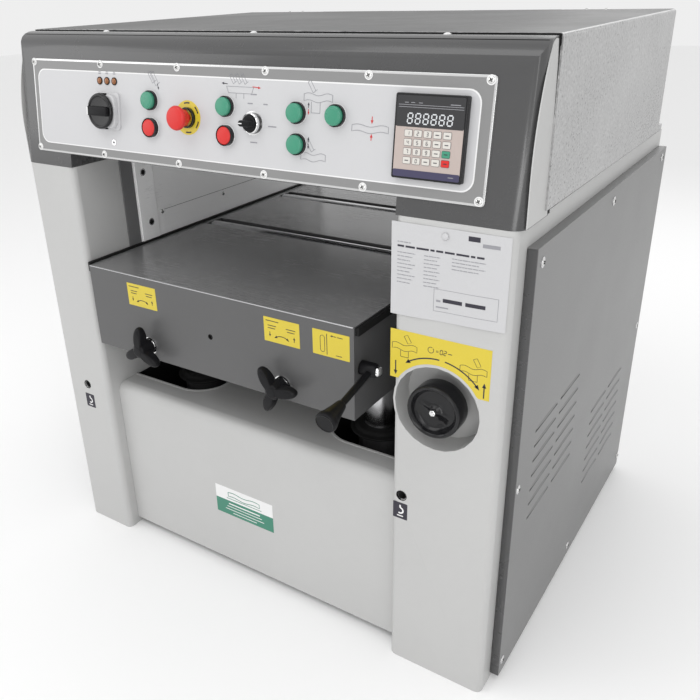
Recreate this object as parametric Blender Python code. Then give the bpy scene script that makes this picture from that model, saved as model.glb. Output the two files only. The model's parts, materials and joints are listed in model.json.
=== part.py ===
"""Thickness planer of the 630 mm class, with its table lift, cutter head, feed, console and hood.

Frame: metres, +Z up, +Y into the machine, the operator stands at -Y. The origin lies on the floor,
midway across the cabinet and midway along its depth.
"""
import math

import bmesh
import bpy
from mathutils import Matrix, Vector

# Fits
FIT_GAP = 0.0003
RUNNING_GAP = 0.0004

LOOP_STEP = 15.0

# Cabinet
CABINET_WIDTH = 1.044
CABINET_DEPTH = 0.880
CABINET_HEIGHT = 0.883
LEFT_CASING_WIDTH = 0.132
RIGHT_CASING_WIDTH = 0.189
CASING_WALL = 0.004
CASING_EDGE_RADIUS = 0.012
CASING_TOP_RIM = 0.022
CASING_TOP_CLOSED = 0.100
LIFT_HOLE_RADIUS = 0.009
LIFT_HOLE_HEIGHT = 0.3815

# Side panels with their louvres
PANEL_SHEET = 0.003
PANEL_STANDOFF = 0.0165
PANEL_FRONT_MARGIN = 0.046
PANEL_BACK_MARGIN = 0.007
PANEL_FOOT = 0.013
PANEL_TOP_MARGIN = 0.035
PANEL_SEAT = 0.030
LOUVRE_LENGTH = 0.112
LOUVRE_HEIGHT = 0.007
LOUVRE_PITCH = 0.030
LOUVRE_ROWS = 7
LOUVRE_COLUMN_PITCH = 0.131
LOUVRE_GROUPS = ((0.076, 0.508), (0.455, 0.356))

# Base: floor frame, front and rear panels
BASE_SHEET = 0.004
BASE_SETBACK = 0.030
BASE_TOP = 0.388
BASE_FOOT = 0.017
BASE_BEND_RADIUS = 0.022
BASE_SHELF_DEPTH = 0.270
WELL_FRONT = 0.088
WELL_COLUMN_CLEARANCE = 0.0545
WELL_CORNER_RADIUS = 0.070
REAR_PANEL_TOP = 0.460
FLOOR_PLATE = 0.020
FLOOR_PLATE_INSET = 0.050

# Table and its lift
PLANING_GAP = 0.195
TABLE_LEFT_GAP = 0.012
TABLE_RIGHT_GAP = 0.071
TABLE_OVERHANG = 0.006
TABLE_BACK_MARGIN = 0.014
TABLE_PLATE = 0.024
TABLE_SKIRT = 0.177
SKIRT_WALL = 0.014
COLUMN_RADIUS = 0.035
COLUMN_PITCH_X = 0.470
COLUMN_FRONT = 0.185
COLUMN_BACK = 0.140
COLUMN_FOOT = 0.140
SLEEVE_WALL = 0.011
SLEEVE_BELOW_SHELF = 0.006
SCREW_RADIUS = 0.015
SCREW_FROM_FRONT = 0.300
SCREW_TUBE_WALL = 0.012
SCREW_TUBE_FOOT = 0.300
SCREW_TOP_BELOW_TABLE = 0.165
SCREW_SPROCKET_RADIUS = 0.040
LIFT_CHAIN_HEIGHT = 0.046
CHAIN_THICKNESS = 0.008

# Bed rollers, clamp knobs and roller lever on the table
BED_ROLLER_RADIUS = 0.026
BED_ROLLER_PROUD = 0.0005
BED_ROLLER_SLOT_GAP = 0.001
JOURNAL_RADIUS = 0.010
KNOB_PITCH = 0.334
KNOB_BELOW_TABLE = 0.147
KNOB_LOBE_REACH = 0.050
KNOB_CORE_RADIUS = 0.013
KNOB_THICKNESS = 0.018
KNOB_STANDOFF = 0.016
KNOB_OUTLINE_STEPS = 30
KNOB_LOBE_SHARPNESS = 2.6
KNOB_TURNS = (90.0, 127.0)
STUD_RADIUS = 0.006
APRON_HOLE_RADIUS = 0.004
APRON_HOLE_BELOW_TABLE = 0.090
LEVER_BELOW_TABLE = 0.082
LEVER_FROM_FRONT = 0.023
LEVER_LENGTH = 0.150
LEVER_DROOP = 12.0
LEVER_ROD_RADIUS = 0.006
LEVER_HUB_RADIUS = 0.015
LEVER_GRIP_LENGTH = 0.052
LEVER_GRIP_RADIUS = 0.019

# Handwheel in its pocket
HANDWHEEL_RADIUS = 0.0465
HANDWHEEL_THICKNESS = 0.038
HANDWHEEL_PROUD = 0.013
HANDWHEEL_DISH = 0.011
HANDWHEEL_FROM_RIGHT = 0.111
HANDWHEEL_HEIGHT = 0.571
POCKET_RADIUS = 0.075
POCKET_DEPTH = 0.050
HANDWHEEL_SHAFT_RADIUS = 0.010

# Cutter head and feed, placed from the front of the cabinet
CUTTER_RADIUS = 0.055
CUTTER_GULLET = 0.010
CUTTER_KNIVES = 4
CUTTER_FROM_FRONT = 0.516
CUTTER_SHAFT_RADIUS = 0.022
CUTTER_ABOVE_CABINET = 0.052
BEARING_RADIUS = 0.042
BEARING_FLANGE_RADIUS = 0.050
FEED_ROLLER_RADIUS = 0.038
FEED_ROLLER_PITCH = 0.144
FEED_ROLLER_BELOW_CUT = 0.002
FEED_JOURNAL_RADIUS = 0.015
FEED_SPROCKET_RADIUS = 0.040
FEED_DRIVE_SPROCKET_RADIUS = 0.030
FEED_DRIVE_HEIGHT = 0.660
FEED_CHAIN_X = 0.076
FEED_MOTOR_RADIUS = 0.040
HEAD_PLATE = 0.020
HEAD_PLATE_HEIGHT = 0.175
HEAD_HALF_DEPTH = 0.330
BREAKER_FROM_CUTTER = 0.081
BREAKER_PIVOT_RADIUS = 0.006
BREAKER_PIVOT_HEIGHT = 0.107
KICKBACK_FROM_CUTTER = 0.276
KICKBACK_HEIGHT = 0.072
KICKBACK_ROD_RADIUS = 0.007
KICKBACK_BELOW_CUT = 0.002
KICKBACK_FINGERS = 16
KICKBACK_FINGER_WIDTH = 0.006
PRESSURE_BAR_FROM_CUTTER = 0.064

# Cutter drive
MOTOR_RADIUS = 0.080
MOTOR_HEIGHT = 0.165
MOTOR_BEHIND_CUTTER = 0.014
MOTOR_LENGTH = 0.340
MOTOR_SHAFT_RADIUS = 0.014
MOTOR_WALL_GAP = 0.075
MOTOR_PULLEY_RADIUS = 0.055
CUTTER_PULLEY_RADIUS = 0.045
PULLEY_WIDTH = 0.050
PULLEY_FROM_RIGHT = 0.127
BELT_WIDTH = 0.040
BELT_THICKNESS = 0.007

# Console across the front
CONSOLE_OVERHANG = 0.008
CONSOLE_HEIGHT = 0.246
CONSOLE_LEAN = 0.12
CONSOLE_TOP_DEPTH = 0.075
CONSOLE_FOOT_DEPTH = 0.100
CONSOLE_TOP_RADIUS = 0.045
CONSOLE_CORNER_RADIUS = 0.021
CONSOLE_WALL = 0.004
CONSOLE_RISE = 0.0262
PLATE_THICKNESS = 0.003
PLATE_LEFT_MARGIN = 0.042
PLATE_RIGHT_MARGIN = 0.0505
PLATE_FOOT = 0.0275
PLATE_HEIGHT = 0.1725

# Controls: distance from the plate's left edge (the readout: from its right edge) and from its foot
BUTTON_RADIUS = 0.0148
BUTTON_STEM_RADIUS = 0.007
BUTTON_PROUD = 0.014
RED_BUTTON_PROUD = 0.011
BUTTON_TRAVEL = 0.004
GREEN_BUTTONS = ((0.317, 0.110), (0.489, 0.109), (0.632, 0.107), (0.704, 0.107), (0.634, 0.060))
RED_BUTTONS = ((0.317, 0.064), (0.490, 0.063))
STOP_PLACE = (0.404, 0.086)
STOP_RADIUS = 0.0205
STOP_PROUD = 0.036
STOP_TRAVEL = 0.005
SELECTOR_PLACE = (0.546, 0.086)
SELECTOR_RADIUS = 0.0133
SELECTOR_PROUD = 0.027
MAIN_SWITCH_PLACE = (0.207, 0.086)
MAIN_SWITCH_SIZE = 0.066
MAIN_SWITCH_BASE = 0.014
MAIN_SWITCH_RADIUS = 0.0315
MAIN_SWITCH_PROUD = 0.030
LAMP_PLACE = (0.208, 0.138)
LAMP_PITCH = 0.019
LAMP_RADIUS = 0.0058
READOUT_PLACE = (0.0885, 0.0865)
READOUT_WIDTH = 0.110
READOUT_HEIGHT = 0.117
READOUT_PROUD = 0.010

# Hood, dust hood and hinge
HOOD_OVERHANG = 0.012
HOOD_SHEET = 0.003
HOOD_FRONT = 0.0805
HOOD_BACK = 0.102
HOOD_FOOT = 0.012
HOOD_HEIGHT = 0.249
HOOD_EDGE_RADIUS = 0.006
HOOD_LIP = 0.020
HINGE_RADIUS = 0.0062
HINGE_PIN_RADIUS = 0.0034
HINGE_BEHIND_HOOD = 0.0065
HINGE_LENGTH = 0.200
DUST_HOOD_WIDTH = 0.660
DUST_HOOD_HEIGHT = 0.217
DUST_HOOD_FLANGE = 0.013
DUST_OUTLET_RADIUS = 0.075
DUST_OUTLET_LENGTH = 0.066
DUST_HOOD_WALL = 0.003

# Places worked out from the sizes above
LEFT = -CABINET_WIDTH / 2
RIGHT = CABINET_WIDTH / 2
FRONT = -CABINET_DEPTH / 2
BACK = CABINET_DEPTH / 2
OPENING_LEFT = LEFT + LEFT_CASING_WIDTH
OPENING_RIGHT = RIGHT - RIGHT_CASING_WIDTH
OPENING_MIDDLE = (OPENING_LEFT + OPENING_RIGHT) / 2
CUTTER_Y = FRONT + CUTTER_FROM_FRONT
CUTTER_Z = CABINET_HEIGHT + CUTTER_ABOVE_CABINET
CUT_HEIGHT = CUTTER_Z - CUTTER_RADIUS
TABLE_TOP = CUT_HEIGHT - PLANING_GAP
TABLE_LEFT = OPENING_LEFT + TABLE_LEFT_GAP
TABLE_RIGHT = OPENING_RIGHT - TABLE_RIGHT_GAP
TABLE_MIDDLE = (TABLE_LEFT + TABLE_RIGHT) / 2
TABLE_FRONT = FRONT - TABLE_OVERHANG
TABLE_BACK = BACK - TABLE_BACK_MARGIN
TABLE_UNDERSIDE = TABLE_TOP - TABLE_PLATE
FEED_ROLLER_Z = CUT_HEIGHT - FEED_ROLLER_BELOW_CUT + FEED_ROLLER_RADIUS
FEED_ROLLERS_Y = (CUTTER_Y - FEED_ROLLER_PITCH, CUTTER_Y + FEED_ROLLER_PITCH)
COLUMNS_X = (OPENING_MIDDLE - COLUMN_PITCH_X / 2, OPENING_MIDDLE + COLUMN_PITCH_X / 2)
COLUMNS_Y = (FRONT + COLUMN_FRONT, BACK - COLUMN_BACK)
SCREW_Y = FRONT + SCREW_FROM_FRONT
MOTOR_Y = CUTTER_Y + MOTOR_BEHIND_CUTTER
PULLEY_X = RIGHT - PULLEY_FROM_RIGHT
FEED_CHAIN_LEFT = LEFT + FEED_CHAIN_X
HEAD_FOOT = CABINET_HEIGHT + FIT_GAP
HANDWHEEL_X = RIGHT - HANDWHEEL_FROM_RIGHT
CONSOLE_FOOT = CABINET_HEIGHT + FIT_GAP
CONSOLE_HALF = CABINET_WIDTH / 2 + CONSOLE_OVERHANG
CONSOLE_TILT = math.atan(CONSOLE_LEAN)
PLATE_LEFT = -CONSOLE_HALF + PLATE_LEFT_MARGIN + CONSOLE_OVERHANG
PLATE_RIGHT = CONSOLE_HALF - PLATE_RIGHT_MARGIN - CONSOLE_OVERHANG
HOOD_HALF = CABINET_WIDTH / 2 + HOOD_OVERHANG
HOOD_TOP = CABINET_HEIGHT + HOOD_HEIGHT
HINGE_Y = BACK - HOOD_BACK + HINGE_BEHIND_HOOD
HINGE_Z = HOOD_TOP - HINGE_RADIUS

CREAM_GREY = ((0.61, 0.61, 0.60), 0.45, 0.0)
SLATE_GREY = ((0.10, 0.10, 0.10), 0.40, 0.0)
HAMMER_GREY = ((0.30, 0.30, 0.30), 0.45, 0.3)
CAST_IRON = ((0.16, 0.16, 0.16), 0.35, 0.8)
STEEL = ((0.52, 0.52, 0.53), 0.30, 1.0)
BLACK = ((0.012, 0.012, 0.012), 0.45, 0.0)
GREEN = ((0.05, 0.35, 0.22), 0.35, 0.0)
RED = ((0.62, 0.02, 0.015), 0.35, 0.0)
AMBER = ((0.70, 0.25, 0.03), 0.25, 0.0)
PALE_GREY = ((0.66, 0.67, 0.66), 0.40, 0.0)
MOTOR_BLUE = ((0.06, 0.13, 0.20), 0.45, 0.1)


def paint(name, finish):
    """A Principled material of one colour, roughness and metallic value."""
    colour, roughness, metallic = finish
    material = bpy.data.materials.new(name)
    material.use_nodes = True
    shader = material.node_tree.nodes["Principled BSDF"]
    shader.inputs["Base Color"].default_value = (*colour, 1.0)
    shader.inputs["Roughness"].default_value = roughness
    shader.inputs["Metallic"].default_value = metallic
    return material


def as_mesh(form):
    """Turn a bmesh into a mesh whose faces point out."""
    bmesh.ops.recalc_face_normals(form, faces=form.faces[:])
    mesh = bpy.data.meshes.new("shape")
    form.to_mesh(mesh)
    form.free()
    return mesh


def box(low, high):
    """A box between two corners."""
    form = bmesh.new()
    bmesh.ops.create_cube(form, size=1.0)
    size = Vector(high) - Vector(low)
    middle = (Vector(high) + Vector(low)) / 2
    bmesh.ops.scale(form, vec=size, verts=form.verts[:])
    bmesh.ops.translate(form, vec=middle, verts=form.verts[:])
    return as_mesh(form)


def prism(outline, axis, low, high, lean=(0.0, 0.0, 0.0)):
    """An outline swept from low to high along an axis; lean shifts its far end sideways.

    The outline's two numbers are (y, z) for axis X, (x, z) for axis Y and (x, y) for axis Z.
    """
    def at(pair, along):
        if axis == "X":
            return Vector((along, pair[0], pair[1]))
        if axis == "Y":
            return Vector((pair[0], along, pair[1]))
        return Vector((pair[0], pair[1], along))

    form = bmesh.new()
    near = [form.verts.new(at(pair, low)) for pair in outline]
    far = [form.verts.new(at(pair, high) + Vector(lean)) for pair in outline]
    form.faces.new(near)
    form.faces.new(far)
    for i in range(len(outline)):
        j = (i + 1) % len(outline)
        form.faces.new((near[i], near[j], far[j], far[i]))
    return as_mesh(form)


def arc(centre, radius, start, end, steps):
    """Points on an arc, angles in degrees, both ends included."""
    points = []
    for i in range(steps + 1):
        angle = math.radians(start + (end - start) * i / steps)
        points.append((centre[0] + radius * math.cos(angle), centre[1] + radius * math.sin(angle)))
    return points


def circle(centre, radius, sides):
    """The corners of a regular polygon inscribed in a circle."""
    return arc(centre, radius, 0.0, 360.0 * (sides - 1) / sides, sides - 1)


def rod(centre, radius, axis, low, high, sides=24):
    """A round bar along an axis; centre holds the two coordinates across it."""
    return prism(circle(centre, radius, sides), axis, low, high)


def bore(centre, radius, axis, low, high, sides=24, gap=RUNNING_GAP):
    """A cutter for a hole in which a bar of this radius turns freely, corners against flats."""
    return rod(centre, (radius + gap) / math.cos(math.pi / sides), axis, low, high, sides)


def turned(profile, place, axis, sides=24):
    """A profile of (radius, height) pairs turned about a line through place along axis."""
    form = bmesh.new()
    turn = Vector((0.0, 0.0, 1.0)).rotation_difference(Vector(axis)).to_matrix().to_4x4()
    frame = Matrix.Translation(place) @ turn
    rings = []
    for radius, height in profile:
        if radius == 0.0:
            rings.append([form.verts.new(frame @ Vector((0.0, 0.0, height)))])
            continue
        ring = circle((0.0, 0.0), radius, sides)
        rings.append([form.verts.new(frame @ Vector((x, y, height))) for x, y in ring])
    for lower, upper in zip(rings, rings[1:]):
        for i in range(sides):
            j = (i + 1) % sides
            corners = [lower[i % len(lower)], lower[j % len(lower)], upper[j % len(upper)],
                       upper[i % len(upper)]]
            form.faces.new(list(dict.fromkeys(corners)))
    return as_mesh(form)


def loop_outline(circles):
    """The outline of a belt round circles given anticlockwise as (u, v, radius)."""
    points = []
    for i, (u, v, radius) in enumerate(circles):
        angles = []
        for first, second in ((circles[i - 1], circles[i]), (circles[i], circles[(i + 1) % len(circles)])):
            du, dv = second[0] - first[0], second[1] - first[1]
            tilt = math.asin((first[2] - second[2]) / math.hypot(du, dv))
            angles.append(math.degrees(math.atan2(dv, du) - math.pi / 2 + tilt))
        start, end = angles
        end += 360.0 if end < start else 0.0
        points += arc((u, v), radius, start, end, math.ceil((end - start) / LOOP_STEP))
    return points


def merged(meshes):
    """Several shapes that don't touch, as one cutter."""
    form = bmesh.new()
    for mesh in meshes:
        form.from_mesh(mesh)
    return as_mesh(form)


def piece(name, finish, shape, joins=(), cuts=(), steps=(), origin=(0.0, 0.0, 0.0)):
    """One sub-part with its origin on its axis: a shape with others joined to it, then others cut from it.

    Where the order matters, steps lists (operation, shape) pairs instead.
    """
    shape.transform(Matrix.Translation(-Vector(origin)))
    part = bpy.data.objects.new(name, shape)
    bpy.context.scene.collection.objects.link(part)
    part.location = origin
    shape.name = name
    shape.materials.append(paint(name, finish))
    order = [("UNION", mesh) for mesh in joins] + [("DIFFERENCE", mesh) for mesh in cuts] + list(steps)
    for number, (operation, mesh) in enumerate(order):
        tool = bpy.data.objects.new(f"{name}_tool_{number}", mesh)
        bpy.context.scene.collection.objects.link(tool)
        tool.hide_render = True
        tool.display_type = "WIRE"
        step = part.modifiers.new(f"{operation.title()} {number}", "BOOLEAN")
        step.operation = operation
        step.solver = "EXACT"
        step.object = tool
    shape.shade_smooth()
    shape.set_sharp_from_angle(angle=math.radians(35.0))


def console_point(x, height, out=0.0):
    """A point on the console's leaning front, at a height above its foot and a distance out of it."""
    y = FRONT + CONSOLE_LEAN * height - out * math.cos(CONSOLE_TILT)
    return Vector((x, y, CONSOLE_FOOT + height + out * math.sin(CONSOLE_TILT)))


def console_normal():
    """The direction out of the console's front."""
    return Vector((0.0, -math.cos(CONSOLE_TILT), math.sin(CONSOLE_TILT)))


def control_point(place, out=0.0):
    """A control's place, given from the plate's left edge and foot."""
    return console_point(PLATE_LEFT + place[0], PLATE_FOOT + place[1], out)


def control_rod(place, profile, sides=12):
    """A turned shape standing on the console's front."""
    return turned(profile, control_point(place), console_normal(), sides)


def console_slab(left, right, foot, head, back, front):
    """A slab lying on the console's front between two distances out of it."""
    form = bmesh.new()
    corners = []
    for out in (back, front):
        for x, height in ((left, foot), (right, foot), (right, head), (left, head)):
            corners.append(form.verts.new(console_point(x, height, out)))
    for face in ((0, 1, 2, 3), (4, 5, 6, 7), (0, 1, 5, 4), (1, 2, 6, 5), (2, 3, 7, 6), (3, 0, 4, 7)):
        form.faces.new([corners[i] for i in face])
    return as_mesh(form)


def rounded_plan(left, right, front, back, radius, steps=4):
    """A plan outline with its two front corners rounded."""
    outline = [(right, back), (left, back)]
    outline += arc((left + radius, front + radius), radius, 180.0, 270.0, steps)
    outline += arc((right - radius, front + radius), radius, 270.0, 360.0, steps)
    return outline


def make_casing(side):
    """One of the two side casings: a sheet box, open outwards behind its panel and at the top."""
    outer, inner = (LEFT, OPENING_LEFT) if side == "left" else (OPENING_RIGHT, RIGHT)
    plan = rounded_plan(outer, inner, FRONT, BACK, CASING_EDGE_RADIUS)
    inside = rounded_plan(outer + CASING_WALL, inner - CASING_WALL, FRONT + CASING_WALL,
                          BACK - CASING_WALL, CASING_EDGE_RADIUS - CASING_WALL)
    hollow = prism(inside, "Z", CASING_WALL, CABINET_HEIGHT - CASING_WALL)
    face = outer if side == "left" else inner
    seat = PANEL_SEAT
    window = box((face - 0.02, FRONT + PANEL_FRONT_MARGIN + seat, PANEL_FOOT + seat),
                 (face + 0.02, BACK - PANEL_BACK_MARGIN - seat, CABINET_HEIGHT - PANEL_TOP_MARGIN - seat))
    top_low = outer + (0.006 if side == "left" else CASING_TOP_RIM)
    top_high = inner - (CASING_TOP_RIM if side == "left" else 0.006)
    hatch = box((top_low, FRONT + CASING_TOP_CLOSED, CABINET_HEIGHT - 0.02),
                (top_high, BACK - CASING_TOP_CLOSED, CABINET_HEIGHT + 0.02))
    hole_x = HANDWHEEL_X - 0.059 if side == "right" else LEFT + 0.064
    lift_hole = rod((hole_x, LIFT_HOLE_HEIGHT), LIFT_HOLE_RADIUS, "Y", FRONT - 0.01, FRONT + 0.01, 10)
    steps = [("DIFFERENCE", hollow)]
    if side == "right":
        centre = (HANDWHEEL_X, HANDWHEEL_HEIGHT)
        cup_end = FRONT + POCKET_DEPTH + CASING_WALL
        steps += [
            ("UNION", rod(centre, POCKET_RADIUS + CASING_WALL, "Y", FRONT + CASING_WALL / 2, cup_end, 24)),
            ("DIFFERENCE", rod(centre, POCKET_RADIUS, "Y", FRONT - 0.01, FRONT + POCKET_DEPTH, 24)),
            ("DIFFERENCE", bore(centre, HANDWHEEL_SHAFT_RADIUS, "Y", FRONT, cup_end + 0.01, 12)),
            ("DIFFERENCE", rod((MOTOR_Y, MOTOR_HEIGHT), 2 * MOTOR_SHAFT_RADIUS, "X",
                               OPENING_RIGHT - 0.01, OPENING_RIGHT + 0.01, 12))]
    steps += [("DIFFERENCE", shape) for shape in (window, hatch, lift_hole)]
    piece(f"{side}_casing", CREAM_GREY, prism(plan, "Z", 0.0, CABINET_HEIGHT), steps=steps)


def make_side_panel(side):
    """A tray of sheet steel over a casing's open side, with two groups of louvres."""
    seat = RIGHT + FIT_GAP
    outside = seat + PANEL_STANDOFF
    front, back = FRONT + PANEL_FRONT_MARGIN, BACK - PANEL_BACK_MARGIN
    foot, head = PANEL_FOOT, CABINET_HEIGHT - PANEL_TOP_MARGIN
    sheet = PANEL_SHEET
    tray = box((seat, front, foot), (outside, back, head))
    hollow = box((seat - 0.01, front + sheet, foot + sheet), (outside - sheet, back - sheet, head - sheet))
    slots = []
    for start, top in LOUVRE_GROUPS:
        for column in range(2):
            y = front + start + column * LOUVRE_COLUMN_PITCH
            for row in range(LOUVRE_ROWS):
                z = top - row * LOUVRE_PITCH
                slots.append(box((outside - 2 * sheet, y, z - LOUVRE_HEIGHT / 2),
                                 (outside + sheet, y + LOUVRE_LENGTH, z + LOUVRE_HEIGHT / 2)))
    shapes = [tray, hollow, merged(slots)]
    if side == "left":
        for shape in shapes:
            shape.transform(Matrix.Scale(-1.0, 4, (1.0, 0.0, 0.0)))
            shape.flip_normals()
    piece(f"{side}_side_panel", SLATE_GREY, shapes[0], cuts=shapes[1:])


def make_guide_plate(side):
    """The steel liner on a casing's inner wall, beside the table."""
    near = OPENING_LEFT + FIT_GAP if side == "left" else OPENING_RIGHT - FIT_GAP - 0.004
    piece(f"{side}_guide_plate", STEEL,
          box((near, FRONT + 0.155, REAR_PANEL_TOP), (near + 0.004, BACK - 0.030, CABINET_HEIGHT - 0.004)))


def make_base_frame():
    """The floor plate with the four guide sleeves and the two screw bearings cast on."""
    low = (OPENING_LEFT + FIT_GAP, FRONT + FLOOR_PLATE_INSET, 0.0)
    high = (OPENING_RIGHT - FIT_GAP, BACK - FLOOR_PLATE_INSET, FLOOR_PLATE)
    joins, cuts = [], []
    sleeve_top = BASE_TOP - SLEEVE_BELOW_SHELF
    for x in COLUMNS_X:
        for y in COLUMNS_Y:
            joins.append(rod((x, y), COLUMN_RADIUS + SLEEVE_WALL, "Z", FLOOR_PLATE / 2, sleeve_top, 16))
            cuts.append(bore((x, y), COLUMN_RADIUS, "Z", FLOOR_PLATE, sleeve_top + 0.01, 16))
        joins.append(rod((x, SCREW_Y), 2 * SCREW_RADIUS, "Z", FLOOR_PLATE / 2, FLOOR_PLATE + 0.012, 12))
        cuts.append(bore((x, SCREW_Y), SCREW_RADIUS, "Z", FLOOR_PLATE / 4, FLOOR_PLATE + 0.03, 12))
    piece("base_frame", CAST_IRON, box(low, high), joins, cuts)


def make_front_base_panel():
    """The bent panel between the casings, its shelf open in two wells round the lifting columns."""
    left, right = OPENING_LEFT + FIT_GAP, OPENING_RIGHT - FIT_GAP
    face, shelf_end = FRONT + BASE_SETBACK, FRONT + BASE_SETBACK + BASE_SHELF_DEPTH
    radius = BASE_BEND_RADIUS
    outline = [(face, BASE_FOOT)]
    outline += arc((face + radius, BASE_TOP - radius), radius, 180.0, 90.0, 5)
    outline += [(shelf_end, BASE_TOP), (shelf_end, BASE_TOP - BASE_SHEET)]
    outline += arc((face + radius, BASE_TOP - radius), radius - BASE_SHEET, 90.0, 180.0, 5)
    outline.append((face + BASE_SHEET, BASE_FOOT))
    cuts = []
    for sign, wall, column in ((1.0, OPENING_LEFT, COLUMNS_X[0]), (-1.0, OPENING_RIGHT, COLUMNS_X[1])):
        end = column + sign * (COLUMN_RADIUS + WELL_COLUMN_CLEARANCE)
        corner = WELL_CORNER_RADIUS
        bend = arc((end - sign * corner, FRONT + WELL_FRONT + corner), corner,
                   270.0, 360.0 if sign > 0 else 180.0, 6)
        plan = [(wall - sign * 0.02, FRONT + WELL_FRONT)] + bend
        plan += [(end, shelf_end + 0.02), (wall - sign * 0.02, shelf_end + 0.02)]
        cuts.append(prism(plan, "Z", BASE_TOP - 0.02, BASE_TOP + 0.02))
    piece("front_base_panel", CREAM_GREY, prism(outline, "X", left, right), cuts=cuts)


def make_rear_base_panel():
    """The flat panel that closes the base between the casings at the back."""
    back = BACK - 0.006
    piece("rear_base_panel", CREAM_GREY,
          box((OPENING_LEFT + FIT_GAP, back - BASE_SHEET, BASE_FOOT),
              (OPENING_RIGHT - FIT_GAP, back, REAR_PANEL_TOP)))


def make_table():
    """The ribbed table casting: plate, skirt, roller slots and the two tubes round the lead screws."""
    foot = TABLE_TOP - TABLE_SKIRT
    body = box((TABLE_LEFT, TABLE_FRONT, foot), (TABLE_RIGHT, TABLE_BACK, TABLE_TOP))
    hollow = box((TABLE_LEFT + SKIRT_WALL, TABLE_FRONT + SKIRT_WALL, foot - 0.01),
                 (TABLE_RIGHT - SKIRT_WALL, TABLE_BACK - SKIRT_WALL, TABLE_UNDERSIDE))
    steps = [("DIFFERENCE", hollow)]
    roller_z = TABLE_TOP + BED_ROLLER_PROUD - BED_ROLLER_RADIUS
    half_slot = BED_ROLLER_RADIUS + BED_ROLLER_SLOT_GAP
    for y in FEED_ROLLERS_Y:
        slot = box((TABLE_LEFT + SKIRT_WALL, y - half_slot, TABLE_UNDERSIDE - 0.01),
                   (TABLE_RIGHT - SKIRT_WALL, y + half_slot, TABLE_TOP + 0.01))
        steps.append(("DIFFERENCE", slot))
        steps.append(("DIFFERENCE", bore((y, roller_z), JOURNAL_RADIUS, "X",
                                         TABLE_LEFT + 0.003, TABLE_RIGHT - 0.003, 16)))
    for x in COLUMNS_X:
        for y in COLUMNS_Y:
            steps.append(("DIFFERENCE", bore((x, y), COLUMN_RADIUS, "Z", foot - 0.01,
                                             TABLE_UNDERSIDE - FIT_GAP / 2, 16)))
        tube = rod((x, SCREW_Y), SCREW_RADIUS + SCREW_TUBE_WALL, "Z", SCREW_TUBE_FOOT,
                   TABLE_UNDERSIDE + 0.006, 12)
        steps.append(("UNION", tube))
        steps.append(("DIFFERENCE", bore((x, SCREW_Y), SCREW_RADIUS, "Z", SCREW_TUBE_FOOT - 0.01,
                                         TABLE_UNDERSIDE, 12)))
    for x in knob_places():
        stud = bore((x, TABLE_TOP - KNOB_BELOW_TABLE), STUD_RADIUS, "Y", TABLE_FRONT - 0.01,
                    TABLE_FRONT + SKIRT_WALL + 0.01, 12)
        steps.append(("DIFFERENCE", stud))
    sight = rod((TABLE_MIDDLE, TABLE_TOP - APRON_HOLE_BELOW_TABLE), APRON_HOLE_RADIUS, "Y",
                TABLE_FRONT - 0.01, TABLE_FRONT + SKIRT_WALL + 0.01, 12)
    pivot = bore(lever_centre(), STUD_RADIUS, "X", TABLE_RIGHT - SKIRT_WALL - 0.01, TABLE_RIGHT + 0.01, 12)
    steps += [("DIFFERENCE", sight), ("DIFFERENCE", pivot)]
    piece("table_bed", CAST_IRON, body, steps=steps)


def knob_places():
    """Where the two clamp knobs sit along the table's front."""
    return (TABLE_MIDDLE - KNOB_PITCH / 2, TABLE_MIDDLE + KNOB_PITCH / 2)


def lever_centre():
    """The roller lever's pivot, as (y, z)."""
    return (TABLE_FRONT + LEVER_FROM_FRONT, TABLE_TOP - LEVER_BELOW_TABLE)


def make_bed_rollers():
    """Two rollers that stand a little proud of the table, under the feed rollers."""
    z = TABLE_TOP + BED_ROLLER_PROUD - BED_ROLLER_RADIUS
    low, high = TABLE_LEFT + SKIRT_WALL + 0.001, TABLE_RIGHT - SKIRT_WALL - 0.001
    reach = SKIRT_WALL - 0.003
    for name, y in zip(("infeed_bed_roller", "outfeed_bed_roller"), FEED_ROLLERS_Y):
        profile = [(0.0, low - reach), (JOURNAL_RADIUS, low - reach), (JOURNAL_RADIUS, low),
                   (BED_ROLLER_RADIUS, low), (BED_ROLLER_RADIUS, high), (JOURNAL_RADIUS, high),
                   (JOURNAL_RADIUS, high + reach), (0.0, high + reach)]
        piece(name, STEEL, turned(profile, (0.0, y, z), (1.0, 0.0, 0.0), 20), origin=(0.0, y, z))


def make_lifting_columns():
    """Four round columns bolted under the table, sliding in the base's sleeves."""
    for row, y in zip(("front", "rear"), COLUMNS_Y):
        for side, x in zip(("left", "right"), COLUMNS_X):
            piece(f"lifting_column_{row}_{side}", STEEL,
                  rod((x, y), COLUMN_RADIUS, "Z", COLUMN_FOOT, TABLE_UNDERSIDE - FIT_GAP, 16))


def make_lead_screws():
    """Two lead screws with their sprockets, turning in the base and reaching up into the table's tubes."""
    foot = FLOOR_PLATE / 4 + FIT_GAP
    chain = LIFT_CHAIN_HEIGHT
    top = TABLE_TOP - SCREW_TOP_BELOW_TABLE
    profile = [(0.0, foot), (SCREW_RADIUS, foot), (SCREW_RADIUS, chain - 0.003),
               (SCREW_SPROCKET_RADIUS, chain - 0.003), (SCREW_SPROCKET_RADIUS, chain + 0.003),
               (SCREW_RADIUS, chain + 0.003), (SCREW_RADIUS, top), (0.0, top)]
    for side, x in zip(("left", "right"), COLUMNS_X):
        piece(f"lead_screw_{side}", STEEL, turned(profile, (x, SCREW_Y, 0.0), (0.0, 0.0, 1.0), 12),
              origin=(x, SCREW_Y, 0.0))


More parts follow.
